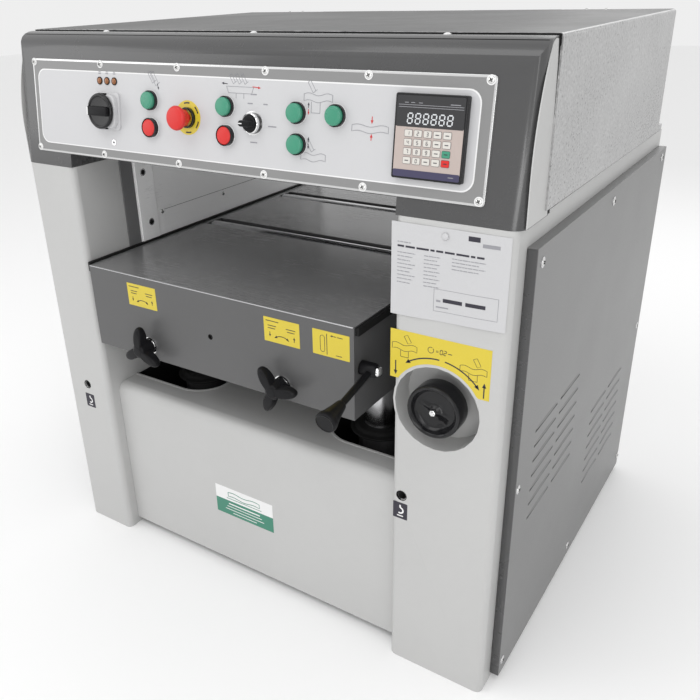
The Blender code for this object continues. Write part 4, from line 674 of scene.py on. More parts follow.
def finned_motor():
    """The drive motor: a barrel of radius 74.5 + 4.5 sign(cos 26t) mm, end bell, fan cover, feet and box."""
    y, z = joints["motor_spin"]["pos_m"][1:]
    left, right = low("drive_motor").x, high("drive_motor").x
    spot = axis_x(y, z)
    t = np.linspace(0.0, TAU, 208, endpoint=False)[None, :]
    x = np.array([left + 0.060, left + 0.062, right - 0.042, right - 0.040])[:, None]
    radius = 0.0745 + 0.0045 * np.sign(np.cos(26.0 * t)) * np.array([0, 1, 1, 0])[:, None]
    barrel = capped(spot(radius * np.cos(t), radius * np.sin(t), x + 0.0 * t))
    cover = turned(soften([(0, left), (0.055, left), (0.078, left + 0.012), (0.078, left + 0.058),
                           (0, left + 0.058)], 0.006), spot, 64)
    bell = turned(soften([(0, right - 0.044), (0.077, right - 0.044), (0.077, right - 0.020), (0.045, right),
                          (0, right)], 0.006), spot, 64)
    foot = facing_up()
    feet = tablet(foot, left + 0.062, right - 0.062, y - 0.079, y + 0.079, 0.0204, 0.036, 0.006, 0.002)
    webs = [tablet(foot, x0, x0 + 0.014, y - 0.066, y + 0.066, 0.034, z - 0.045, 0.003, 0.0)
            for x0 in (left + 0.070, right - 0.084)]
    box = tablet(foot, left + 0.100, left + 0.200, y - 0.045, y + 0.045, z + 0.070, z + 0.109, 0.008, 0.003)
    piece("motor_body", [barrel, cover, bell, feet, box] + webs, motor_enamel, replaces=("drive_motor",),
          slot="motor_paint")


columns_and_screws()
rollers()
knives()
finned_motor()

# ------------------------------------------------------------------ console: plate, printing and controls

GREEN_PLACES = {"feed_start_button": (0.317, 0.110), "cutter_start_button": (0.489, 0.109),
                "table_up_button": (0.632, 0.107), "table_position_button": (0.704, 0.107),
                "table_down_button": (0.634, 0.060)}
RED_PLACES = {"feed_stop_button": (0.317, 0.064), "cutter_stop_button": (0.490, 0.063)}
STOP_PLACE, SELECTOR_PLACE = (0.404, 0.086), (0.546, 0.086)
SWITCH_PLACE, LAMPS_PLACE = (0.207, 0.086), (0.208, 0.138)


def on_plate(place):
    """A place given from the plate's left edge and foot, as (x, height) on the console."""
    return PLATE_LEFT + place[0], PLATE_LOW + place[1]


def console_plate():
    """The front plate: brushed sheet with a printed grey band and a light field with round corners."""
    piece("front_plate", [tablet(console_face, PLATE_LEFT, PLATE_RIGHT, PLATE_LOW, PLATE_HIGH, 0.0003,
            PLATE_TOP, 0.006, 0.0008)], plate_silver, replaces=("control_plate",), slot="pale_grey")
    piece("plate_grey_band", [tablet(console_face, PLATE_LEFT + 0.0035, PLATE_RIGHT - 0.0035,
            PLATE_LOW + 0.0035, PLATE_HIGH - 0.0035, PLATE_TOP - 0.0005, PLATE_TOP + 0.00015, 0.005)],
          plate_band)
    piece("plate_light_line", [tablet(console_face, -0.4665, 0.4530, 0.0442, 0.1817, PLATE_TOP,
                                      PLATE_TOP + 0.0003, 0.019)], print_white)
    piece("plate_light_field", [tablet(console_face, -0.4645, 0.4510, 0.0462, 0.1797, PLATE_TOP,
                                       PLATE_TOP + 0.00045, 0.018)], plate_field)
    spots = [(x, height) for x in (-0.4745, -0.289, -0.0995, 0.0885, 0.276, 0.463)
             for height in (0.1937, 0.0347)]
    screws("plate_screws", shifted(console_face, 0, 0, PLATE_TOP), spots, 0.0050, 0.0028)
    washers = [ring(console_face, spot, 0.003, 0.0068, PLATE_TOP, PLATE_TOP + 0.0008, 28) for spot in spots]
    piece("plate_screw_washers", washers, print_white)


def push_button(name, place, colour, bezel_top):
    """A push button: a fixed black bezel, and a cap with a raised disc inside a rounded rim."""
    spot = console_axis(*on_plate(place))
    bezel = [(0.0152, PLATE_TOP), (0.0168, PLATE_TOP), (0.0168, bezel_top - 0.0008), (0.0162, bezel_top),
             (0.0154, bezel_top), (0.0152, bezel_top - 0.0008), (0.0152, PLATE_TOP)]
    piece(name + "_bezel", [turned(bezel, spot, 56)], gloss_black)
    piece(name + "_gasket", [ring(spot, (0, 0), 0.0160, 0.0176, PLATE_TOP + 0.0003, PLATE_TOP + 0.0011, 56)],
          print_white)
    tip = high_out(name, place)
    cap = [(0, -0.016), (0.0098, -0.016), (0.0098, -0.009), (0.0068, -0.008), (0.0068, PLATE_TOP + 0.0048),
           (0.0146, PLATE_TOP + 0.0048), (0.0146, tip - 0.0022), (0.0130, tip - 0.0006),
           (0.0112, tip - 0.0006), (0.0106, tip), (0, tip + 0.0002)]
    piece(name + "_cap", [turned(soften(cap, 0.0009, 3), spot, 56)], colour, name, replaces=(name,),
          slot="green_plastic" if colour is green_cap else "red_plastic")


def emergency_stop():
    """The mushroom head on its neck, over a black collar and a yellow disc with ring marks."""
    spot = console_axis(*on_plate(STOP_PLACE))
    disc = [(0, PLATE_TOP), (0.0285, PLATE_TOP), (0.0285, PLATE_TOP + 0.0008), (0, PLATE_TOP + 0.0010)]
    piece("stop_disc", [turned(disc, spot, 64)], sticker_yellow)
    marks = []
    for start in np.arange(20.0, 380.0, 60.0):
        marks.append(stroke(spot, arc((0, 0), 0.0245, start, start + 28.0, 10), 0.0022, PLATE_TOP + 0.0008,
                            PLATE_TOP + 0.0013))
    piece("stop_disc_marks", marks, print_black)
    collar = [(0.0146, PLATE_TOP), (0.0172, PLATE_TOP), (0.0172, PLATE_TOP + 0.006),
              (0.0164, PLATE_TOP + 0.0070), (0.0146, PLATE_TOP + 0.0070), (0.0146, PLATE_TOP)]
    piece("stop_collar", [turned(collar, spot, 48)], gloss_black)
    tip = high_out("emergency_stop_button", STOP_PLACE)
    head = [(0, -0.018), (0.0098, -0.018), (0.0098, -0.010), (0.0068, -0.010), (0.0068, 0.0132),
            (0.0140, 0.0135), (0.0140, 0.022), (0.0150, tip - 0.013), (0.0200, tip - 0.0095),
            (0.0205, tip - 0.0055), (0.0180, tip - 0.0012), (0.010, tip - 0.0003), (0, tip)]
    piece("stop_head", [turned(soften(head, 0.0022, 4), spot, 64)], red_cap, "emergency_stop",
          replaces=("emergency_stop_button",), slot="red_plastic")


def high_out(node, place):
    """How far a control stands out of the console's front at its place."""
    x, height = on_plate(place)
    corners = np.array([v.co[:] for v in nodes[node].data.vertices])
    start = console_face(x, height, 0.0)
    return float(((corners - start) @ np.array([0, -math.cos(CONSOLE_TILT), math.sin(CONSOLE_TILT)])).max())


def selector():
    """The selector: a silver seat, a black ring, a chrome ring, a black boss and a level grip bar."""
    spot = console_axis(*on_plate(SELECTOR_PLACE))
    seat = [(0.0080, PLATE_TOP), (0.0196, PLATE_TOP), (0.0192, PLATE_TOP + 0.0018),
            (0.0080, PLATE_TOP + 0.0022), (0.0080, PLATE_TOP)]
    piece("selector_seat", [turned(seat, spot, 56)], chrome)
    collar = [(0.0080, PLATE_TOP + 0.002), (0.0168, PLATE_TOP + 0.002), (0.0168, PLATE_TOP + 0.006),
              (0.0080, PLATE_TOP + 0.006), (0.0080, PLATE_TOP + 0.002)]
    piece("selector_collar", [turned(collar, spot, 56)], gloss_black)
    bright = [(0.0136, PLATE_TOP + 0.006), (0.0166, PLATE_TOP + 0.006), (0.0160, PLATE_TOP + 0.0105),
              (0.0148, PLATE_TOP + 0.0115), (0.0138, PLATE_TOP + 0.0110), (0.0136, PLATE_TOP + 0.006)]
    piece("selector_ring", [turned(bright, spot, 56)], chrome)
    tip = high_out("selector_knob", SELECTOR_PLACE)
    boss = [(0, -0.012), (0.0068, -0.012), (0.0068, PLATE_TOP + 0.0063), (0.0130, PLATE_TOP + 0.0063),
            (0.0130, PLATE_TOP + 0.0135), (0.0116, PLATE_TOP + 0.0150), (0, PLATE_TOP + 0.0150)]
    grip = tablet(spot, -0.0120, 0.0120, -0.0050, 0.0050, PLATE_TOP + 0.010, tip, 0.0049, 0.0022)
    piece("selector_grip", [turned(soften(boss, 0.0008, 3), spot, 48), grip], black_plastic, "selector",
          replaces=("selector_knob",), slot="black_plastic")
    piece("selector_pointer", [tablet(spot, -0.0105, -0.0030, -0.0008, 0.0008, tip - 0.0002, tip + 0.0003,
                                      0.0007)], print_white, "selector")


def main_switch():
    """The main switch: a square light body in two steps, and a black dial with a raised grip bar."""
    spot = console_axis(*on_plate(SWITCH_PLACE))
    half = (high("main_switch_base").x - low("main_switch_base").x) / 2
    tip = high_out("main_switch_knob", SWITCH_PLACE)
    base = high_out("main_switch_base", SWITCH_PLACE)
    flange = tablet(spot, -half, half, -half, half, PLATE_TOP + 0.0003, PLATE_TOP + 0.0045, 0.007, 0.001)
    drum = tablet(spot, -half + 0.0035, half - 0.0035, -half + 0.0035, half - 0.0035, PLATE_TOP + 0.004, base,
                  0.012, 0.003)
    piece("main_switch_body", [flange, drum], plate_field, replaces=("main_switch_base",),
          slot="grey_plastic")
    radius = (high("main_switch_knob").x - low("main_switch_knob").x) / 2
    seat = base + 0.0010
    dial = [(0, -0.012), (0.0068, -0.012), (0.0068, seat), (radius - 0.003, seat), (radius, seat + 0.002),
            (radius, seat + 0.0060), (radius - 0.002, seat + 0.0080), (radius - 0.0050, seat + 0.0080),
            (radius - 0.0065, seat + 0.0066), (0, seat + 0.0066)]
    piece("main_switch_dial", [turned(soften(dial, 0.0012, 3), spot, 72)], gloss_black, "main_switch",
          replaces=("main_switch_knob",), slot="black_plastic")
    bar = tablet(spot, -0.026, 0.026, -0.0080, 0.0080, seat + 0.004, tip, 0.004, 0.0016)
    piece("main_switch_bar", [bar], black_plastic, "main_switch")
    gaps = [tablet(spot, -0.010, 0.010, b - 0.0016, b + 0.0016, base - 0.003, base + 0.0002, 0.001)
            for b in (-0.0300, 0.0300)]
    piece("main_switch_shadow_gaps", gaps, black_and_painted_shade)
    piece("main_switch_marks", [tablet(spot, -0.0245, -0.0215, -0.0070, 0.0070, tip - 0.0003, tip + 0.0003,
                                       0.001)], print_white, "main_switch")
    x, height = on_plate(SWITCH_PLACE)
    lock = console_axis(x + 0.012, height - 0.055)
    piece("lock_rosette", [ring(lock, (0, 0), 0.0028, 0.0052, PLATE_TOP, PLATE_TOP + 0.0014, 32)], chrome)
    # The key slot is a near-black strip of painted shade, not a cut.
    piece("lock_slot_painted_shade", [tablet(lock, -0.0026, 0.0026, -0.0005, 0.0005, PLATE_TOP + 0.0004, PLATE_TOP + 0.0010,
                               0.0004)], black_and_painted_shade)


def lamps():
    """Three amber lenses, each a dome on a dark ring, with a small tick above; the bar behind holds them."""
    lenses, rings, ticks = [], [], []
    for step in (-1, 0, 1):
        spot = console_axis(PLATE_LEFT + LAMPS_PLACE[0] + step * 0.019, PLATE_LOW + LAMPS_PLACE[1])
        t = np.linspace(0.0, math.pi / 2, 7)
        dome = np.stack([0.0055 * np.cos(t), PLATE_TOP + 0.0015 + 0.0026 * np.sin(t)], axis=-1)
        lenses.append(turned(np.vstack([[0, -0.011], [0.0052, -0.011], dome[:-1], [0, dome[-1, 1]]]), spot,
                             32))
        rings.append(ring(spot, (0, 0), 0.0054, 0.0068, PLATE_TOP, PLATE_TOP + 0.0018, 32))
        ticks.append(tablet(spot, -0.0035, 0.0035, 0.0118, 0.0135, PLATE_TOP, PLATE_TOP + 0.0007, 0.0006))
        ticks.append(tablet(spot, -0.0025, 0.0025, 0.0150, 0.0160, PLATE_TOP, PLATE_TOP + 0.0007, 0.0004))
    x, height = on_plate(LAMPS_PLACE)
    lenses.append(tablet(console_face, x - 0.028, x + 0.028, height - 0.008, height + 0.008, -0.016, -0.009,
                         0.002))
    piece("lamp_lenses", lenses, amber_lens, replaces=("indicator_lamps",), slot="amber_plastic")
    piece("lamp_rings", rings, black_and_painted_shade)
    piece("lamp_ticks", ticks, print_grey)


SEGMENTS = {"0": "abcdef", "1": "bc", "2": "abged", "3": "abgcd", "4": "fgbc", "5": "afgcd", "6": "afgedc",
            "7": "abc", "8": "abcdefg", "9": "abcdfg"}


def numeral(place, a, b, height, digit, weight, top):
    """A seven-stroke numeral centred at (a, b), leaning a little as on a counter."""
    w, h = height * 0.27, height / 2
    ends = {"a": ((-w, h), (w, h)), "b": ((w, h), (w, 0)), "c": ((w, 0), (w, -h)), "d": ((-w, -h), (w, -h)),
            "e": ((-w, 0), (-w, -h)), "f": ((-w, h), (-w, 0)), "g": ((-w, 0), (w, 0))}
    strokes = []
    for letter in SEGMENTS[digit]:
        start, end = (np.array(p) for p in ends[letter])
        gap = (end - start) / np.linalg.norm(end - start) * weight * 0.55
        pair = [start + gap, end - gap]
        lean = [(a + p[0] + 0.08 * p[1], b + p[1]) for p in pair]
        strokes.append(stroke(place, lean, weight, top - 0.0001, top + 0.00025))
    return strokes


def readout():
    """The digital readout: a framed housing, dark window with six numerals, film keypad and a strip below."""
    left, right = low("digital_readout").x, high("digital_readout").x
    centre, half = (left + right) / 2, (right - left) / 2
    height, tall = PLATE_LOW + READOUT_RISE, READOUT_HALF
    out = high_out("digital_readout", (centre - PLATE_LEFT, READOUT_RISE))
    face = shifted(console_face, centre, height)
    piece("readout_housing", [tablet(face, -half, half, -tall, tall, PLATE_TOP + 0.0003, out, 0.003, 0.0012)],
          gloss_black, replaces=("digital_readout",), slot="black_plastic")
    piece("readout_film", [tablet(face, -half + 0.003, half - 0.003, -tall + 0.003, tall - 0.003,
                                  out - 0.0004, out + 0.0003, 0.002)], key_beige)
    window_foot = tall - 0.045
    piece("readout_window", [tablet(face, -half + 0.003, half - 0.003, window_foot, tall - 0.003, out,
                                    out + 0.0006, 0.002)], readout_glass)
    piece("readout_strip", [tablet(face, -half + 0.003, half - 0.003, -tall + 0.003, -tall + 0.013, out,
                                   out + 0.0006, 0.002)], readout_violet)
    fine = lines(face, [((-half + 0.006, tall - 0.0155), (half - 0.005, tall - 0.0155)),
                        ((-half + 0.006, tall - 0.0185), (half - 0.005, tall - 0.0185))], 0.0007,
                 out + 0.0005, out + 0.0008)
    for a in (-0.040, -0.030, -0.018):
        fine += lines(face, [((a, tall - 0.0125), (a + 0.006, tall - 0.0125))], 0.0009, out + 0.0005,
                      out + 0.0008)
    fine += lines(face, [((0.030, tall - 0.0128), (0.045, tall - 0.0128)),
                         ((0.035, -tall + 0.008), (0.043, -tall + 0.008))], 0.0011, out + 0.0005,
                  out + 0.0008)
    piece("readout_fine_lines", fine, print_grey)
    digits = []
    for number in range(6):
        digits += numeral(face, -0.030 + 0.0122 * number, tall - 0.0335, 0.0135, "8", 0.0017, out + 0.0006)
    piece("readout_numerals", digits, digit_grey)
    caps, prints, special = [], [], {}
    labels = ("123", "456", "789", "0")
    for row in range(4):
        for column in range(5):
            a = -0.0310 + 0.0150 * column
            b = window_foot - 0.0085 - 0.0125 * row
            body = tablet(face, a - 0.0060, a + 0.0060, b - 0.0046, b + 0.0046, out, out + 0.0011, 0.0015,
                          0.0004)
            prints.append(ring_box(face, a, b, 0.0064, 0.0050, 0.0006, out + 0.0002, out + 0.0007))
            if (row, column) == (2, 4):
                special["readout_green_key"] = (body, green_cap)
            elif (row, column) == (3, 4):
                special["readout_red_key"] = (body, red_cap)
            else:
                caps.append(body)
            text = labels[row] if row < 3 else " 0 "
            if column < 3 and column < len(text) and text[column] != " ":
                prints += numeral(face, a, b, 0.0048, text[column], 0.0008, out + 0.0011)
            else:
                prints += lines(face, [((a - 0.0028, b), (a + 0.0028, b))], 0.0012, out + 0.0010,
                                out + 0.0013)
    piece("readout_keys", caps, key_cap)
    piece("readout_key_prints", prints, print_black)
    for name, (body, colour) in special.items():
        piece(name, [body], colour)


def ring_box(place, a, b, half_a, half_b, width, low, high):
    """A thin rectangular frame round (a, b): the section carried round a rounded rectangle."""
    outer = rounded_rectangle(a - half_a, a + half_a, b - half_b, b + half_b, 0.0018, 3)
    inner = rounded_rectangle(a - half_a + width, a + half_a - width, b - half_b + width, b + half_b - width,
                              0.0014, 3)
    rings = [place(edge[:, 0], edge[:, 1], h) for edge,
             h in ((inner, low), (outer, low), (outer, high), (inner, high))]
    return grid(np.array(rings), close_rows=True, close_columns=True)


console_plate()
for control, place in GREEN_PLACES.items():
    push_button(control, place, green_cap, PLATE_TOP + 0.0070)
for control, place in RED_PLACES.items():
    push_button(control, place, red_cap, PLATE_TOP + 0.0095)
emergency_stop()
selector()
main_switch()
lamps()
readout()


def board_outline(a, b, length, height):
    """A wavy board: edges at b +- height/2 + 0.18 height sin(3 pi s) along it, joined by straight ends."""
    t = np.linspace(0.0, 1.0, 15)
    top = np.stack([a - length / 2 + length * t, b + height / 2 + height * 0.18 * np.sin(3 * math.pi * t)],
                   axis=-1)
    foot = np.stack([a + length / 2 - length * t, b - height / 2 + height * 0.18 * np.sin(3 * math.pi * t)],
                    axis=-1)
    return np.vstack([top, foot, top[:1]])


def knife_sign(place, a, b, length, width):
    """A slanted knife seen from its side: two parallel strokes and a tip."""
    along = np.array([0.55, -0.83]) * length
    side = np.array([0.83, 0.55]) * length * 0.16
    start = np.array([a, b]) - along / 2
    return lines(place, [(start - side, start + along - side), (start + side, start + along + side),
                         (start - side, start + side), (start + along - side, start + along + side * 2.2)],
                 width, PLATE_TOP + 0.0004, PLATE_TOP + 0.0007)


def signs():
    """Line signs beside the controls: knives, boards and arrows, in thin grey, black and red strokes."""
    grey, black, red = [], [], []
    base, top = PLATE_TOP + 0.0004, PLATE_TOP + 0.0008
    wide = 0.0007
    f = console_face
    for a, b, length in ((-0.153, 0.174, 0.024), (-0.160, 0.176, 0.020)):
        grey += knife_sign(f, a, b, length, wide)
    black += arrow(f, [(-0.146, 0.166), (-0.143, 0.156)], 0.0010, base, top)
    for a in (0.022, 0.034, 0.046):
        grey += knife_sign(f, a, 0.180, 0.016, wide)
    grey += lines(f, [((0.010, 0.168), (0.066, 0.168)), ((0.014, 0.158), (0.062, 0.158)),
                      ((0.010, 0.168), (0.014, 0.158)), ((0.066, 0.168), (0.062, 0.158)),
                      ((0.030, 0.158), (0.030, 0.150)), ((0.046, 0.158), (0.046, 0.150))], wide, base, top)
    black += arrow(f, [(0.012, 0.1715), (0.000, 0.1725)], 0.0012, base, top)
    red += arrow(f, [(0.064, 0.1690), (0.080, 0.1675)], 0.0012, base, top)
    grey += [stroke(f, board_outline(0.190, 0.158, 0.052, 0.010), wide, base, top)]
    grey += knife_sign(f, 0.178, 0.174, 0.018, wide)
    grey += lines(f, [((0.178, 0.152), (0.178, 0.136)), ((0.194, 0.152), (0.194, 0.136)),
                      ((0.178, 0.136), (0.194, 0.136))], wide, base, top)
    black += arrow(f, [(0.1730, 0.143), (0.1730, 0.151)], 0.0010, base, top)
    red += arrow(f, [(0.1730, 0.141), (0.1730, 0.133)], 0.0010, base, top)
    grey += [stroke(f, board_outline(0.184, 0.070, 0.046, 0.010), wide, base, top)]
    grey += knife_sign(f, 0.178, 0.087, 0.018, wide)
    for start, end in ((0.092, 0.100), (0.090, 0.082)):
        black += arrow(f, [(0.1745, start), (0.1745, end)], 0.0010, base, top)
    grey += [stroke(f, board_outline(0.283, 0.119, 0.062, 0.009), wide, base, top)]
    for start, end in ((0.137, 0.1265), (0.103, 0.1125)):
        red += arrow(f, [(0.286, start), (0.286, end)], 0.0013, base, top)
    x, height = on_plate(SELECTOR_PLACE)
    captions = ((-0.012, 0.030, 0.010), (0.020, 0.030, 0.008), (0.030, -0.003, 0.016),
                (-0.006, -0.030, 0.014), (-0.006, 0.044, 0.012))
    for dx, dy, reach in captions:
        grey += lines(f, [((x + dx, height + dy), (x + dx + reach, height + dy))], 0.0018, base, top)
    piece("sign_lines", grey, print_grey)
    piece("sign_black_arrows", black, print_black)
    piece("sign_red_arrows", red, print_red)


signs()

# ------------------------------------------------------------------ cabinet: panels, labels and fittings


def cheeks():
    """Light end plates of the console: y = 11 mm + 41 mm ((z - 0.95) / 0.17)^2 along the front edge."""
    z = np.concatenate([[0.885, 0.930], np.linspace(0.950, 1.1200, 18)])
    front = 0.011 + 0.041 * (np.maximum(z - 0.950, 0.0) / 0.170) ** 2
    rear = [(0.0620, 1.1262), (0.0705, 1.1262), (0.0760, 1.097), (0.0830, 0.990), (0.0935, 0.885)]
    outline = np.vstack([np.stack([front, z], axis=-1), [(0.0555, 1.1238)], rear])
    for side, sign in SIDES:
        spot = facing_side(sign * CONSOLE_HALF, sign, FRONT)
        inset = outline + (outline.mean(axis=0) - outline) * 0.012
        rings = [spot(edge[:, 0], edge[:, 1], h) for edge,
                 h in ((outline, -0.0005), (outline, 0.0007), (inset, 0.0012))]
        piece(f"console_cheek_{side}", [capped(np.array(rings))], light_grey)


def louvres():
    """Lips pressed over the side panels' slots, with a near-black sheet behind them as painted shade inside
    the slots.

    A lip's rise is 1.4 mm sin(pi s)^0.5 sin(pi w / 2)^0.8, s along the slot and w across it.
    """
    front = low("right_side_panel").y
    for side, sign in SIDES:
        spot = facing_side(sign * (PANEL_OUT - 0.0002), sign)
        lips, slot_shades = [], []
        s = np.linspace(0.0, 1.0, 15)[:, None]
        w = np.linspace(0.0, 1.0, 6)[None, :]
        for start, top in LOUVRE_GROUPS:
            for column in range(LOUVRE_COLUMNS):
                a0 = front + start + column * LOUVRE_COLUMN_PITCH
                # Near-black sheet behind each slot group: painted shade inside the slots.
                slot_shades.append(tablet(spot, a0 - 0.004, a0 + LOUVRE_LENGTH + 0.004, top - 0.194, top + 0.006,
                                     -0.0036, -0.0026, 0.002))
                for row in range(LOUVRE_ROWS):
                    z = top - row * LOUVRE_PITCH
                    rise = LOUVRE_RISE * np.sin(math.pi * s) ** 0.5
                    along = a0 - 0.001 + (LOUVRE_LENGTH + 0.002) * s + 0.0 * w
                    across = z + 0.0060 - 0.0048 * w + 0.0 * s
                    outer = spot(along, across, rise * np.sin(0.5 * math.pi * w) ** 0.8)
                    inner = spot(along, across - 0.0002, rise * np.sin(0.5 * math.pi * w) ** 0.8 - 0.0006)
                    lips.append(grid(np.concatenate([outer, inner[:, ::-1]], axis=1), close_columns=True))
        piece(f"louvre_lips_{side}", lips, panel_grey, slot="slate_grey")
        piece(f"louvre_slot_shade_{side}", slot_shades, black_and_painted_shade, slot="black_plastic")


def panel_fixings():
    """Screws on the side panels, rear panel and dust hood, and dark strips of painted shade on the side
    panels' rolled front edges.
    """
    spots = [(y - 0.440, z) for y, z in ((0.0695, 0.822), (0.452, 0.823), (0.837, 0.830), (0.849, 0.424),
                                         (0.861, 0.045), (0.445, 0.040), (0.058, 0.045), (0.056, 0.430))]
    for side, sign in SIDES:
        spot = facing_side(sign * PANEL_OUT, sign)
        screws(f"panel_screws_{side}", spot, spots, 0.0058, 0.0030)
        piece(f"panel_screw_washers_{side}", [ring(spot, at, 0.003, 0.0085, 0.0, 0.0010, 28) for at in spots],
              bright_steel)
        # A dark strip on each side panel's front edge: painted shade of the rolled edge.
        near, far = sorted((sign * (CASING_SIDE + 0.0005), sign * (PANEL_OUT - 0.0004)))
        front = facing_front(y=low(f"{side}_side_panel").y)
        foot, head = low(f"{side}_side_panel").z + 0.001, high(f"{side}_side_panel").z - 0.001
        piece(f"panel_edge_painted_shade_{side}", [tablet(front, near, far, foot, head, 0.0001, 0.0012, 0.0012, 0.0008)],
              slate_grey)
    back = facing_back(y=high("rear_base_panel").y)
    left, right, top = low("rear_base_panel").x, high("rear_base_panel").x, high("rear_base_panel").z
    spots = [(x, z) for x in np.linspace(left + 0.020, right - 0.020, 4) for z in (0.040, top - 0.020)]
    screws("rear_panel_screws", back, spots, 0.0055, 0.0028)
    half, foot = high("dust_hood").x, low("dust_hood").z
    flange = facing_up(y=DUST_WALL - 0.014, z=foot + 0.013)
    spots = [(sign * (half - inset), 0.0) for sign in (-1, 1) for inset in (0.018, 0.100, 0.182)]
    screws("dust_hood_screws", flange, spots, 0.0050, 0.0026)
    outlet_z = middle("dust_hood").z
    rim = ring(facing_back(z=outlet_z), (0, 0), 0.0748, 0.0775, high("dust_hood").y - 0.010,
               high("dust_hood").y - 0.003, 72)
    piece("outlet_bead", [rim], hood_grey, slot="hammer_grey")


def lift_points():
    """The bar holes near the foot of each casing, each with a near-black ring of painted shade in its mouth,
    and their black signs with a white hook.
    """
    for side, x, sign_x, sign_z in (("right", 0.3525, 0.3505, 0.349), ("left", -0.458, -0.4570, 0.340)):
        spot = shifted(front_face, x, 0.3815)
        # Near-black ring sunk into the face: painted shade inside the bar hole.
        piece(f"lift_hole_painted_shade_{side}", [ring(spot, (0, 0), 0.0088, 0.0102, -0.0030, 0.0004, 32)], black_and_painted_shade)
        card = shifted(front_face, sign_x, sign_z)
        piece(f"lift_sign_{side}", [tablet(card, -0.0140, 0.0140, -0.0170, 0.0170, 0.0, STICKER, 0.0015)],
              print_black)
        hook = np.vstack([[[0.0, 0.0120], [0.0, 0.0070]], arc((0.0, 0.0005), 0.0058, 80.0, -120.0, 14)])
        foot = lines(card, [((-0.0060, -0.0110), (0.0060, -0.0110))], 0.0022, STICKER, INK)
        piece(f"lift_sign_hook_{side}", [stroke(card, hook, 0.0030, STICKER, INK)] + foot, print_white)


def apron_stickers():
    """Three yellow stickers on the table's front with bars, arrows and a curved double arrow."""
    prints = []
    body = []
    for a0, a1, kind in ((-0.271, -0.193, "turn"), (0.074, 0.1515, "turn"), (0.179, 0.2535, "level")):
        b0, b1 = 0.620, 0.667
        body.append(tablet(apron_face, a0, a1, b0, b1, 0.0, STICKER, 0.0008))
        spot = shifted(apron_face, (a0 + a1) / 2, (b0 + b1) / 2)
        if kind == "turn":
            prints += lines(spot, [((-0.034, 0.0170), (-0.006, 0.0170)), ((-0.030, 0.0080), (-0.012, 0.0080)),
                                   ((0.010, 0.0080), (0.030, 0.0080)), ((-0.030, 0.0030), (-0.014, 0.0030)),
                                   ((0.012, 0.0030), (0.028, 0.0030))], 0.0014, STICKER, INK)
            bow = arc((0.0, -0.034), 0.0250, 128.0, 52.0, 14)
            for path in (bow, bow[::-1]):
                prints += arrow(spot, path, 0.0014, STICKER, INK)
            prints += arrow(spot, [(-0.026, -0.004), (-0.026, -0.014)], 0.0013, STICKER, INK)
            prints += arrow(spot, [(0.027, -0.014), (0.027, -0.004)], 0.0013, STICKER, INK)
        else:
            slot = np.vstack([arc((-0.017, 0.010), 0.0045, 0.0, 180.0, 9),
                              arc((-0.017, -0.012), 0.0045, 180.0, 360.0, 9), [[-0.0125, 0.010]]])
            prints.append(stroke(spot, slot, 0.0009, STICKER, INK))
            prints += lines(spot, [((-0.008, 0.019), (-0.008, -0.020)), ((0.006, 0.0165), (0.011, 0.0165)),
                                   ((0.010, -0.0180), (0.022, -0.0180)), ((0.013, 0.0165), (0.024, 0.0165))],
                            0.0012, STICKER, INK)
            prints += arrow(spot, [(-0.001, 0.0165), (0.006, 0.0165)], 0.0011, STICKER, INK)
    piece("apron_stickers", body, sticker_yellow, "table")
    piece("apron_sticker_prints", prints, print_black, "table")
    hole = shifted(apron_face, (TABLE_LEFT + TABLE_RIGHT) / 2, TABLE_TOP - 0.090)
    # Near-black ring sunk into the apron: painted shade inside the hole.
    piece("apron_hole_painted_shade", [ring(hole, (0, 0), 0.0038, 0.0056, -0.0040, 0.0002, 28)], black_and_painted_shade, "table")


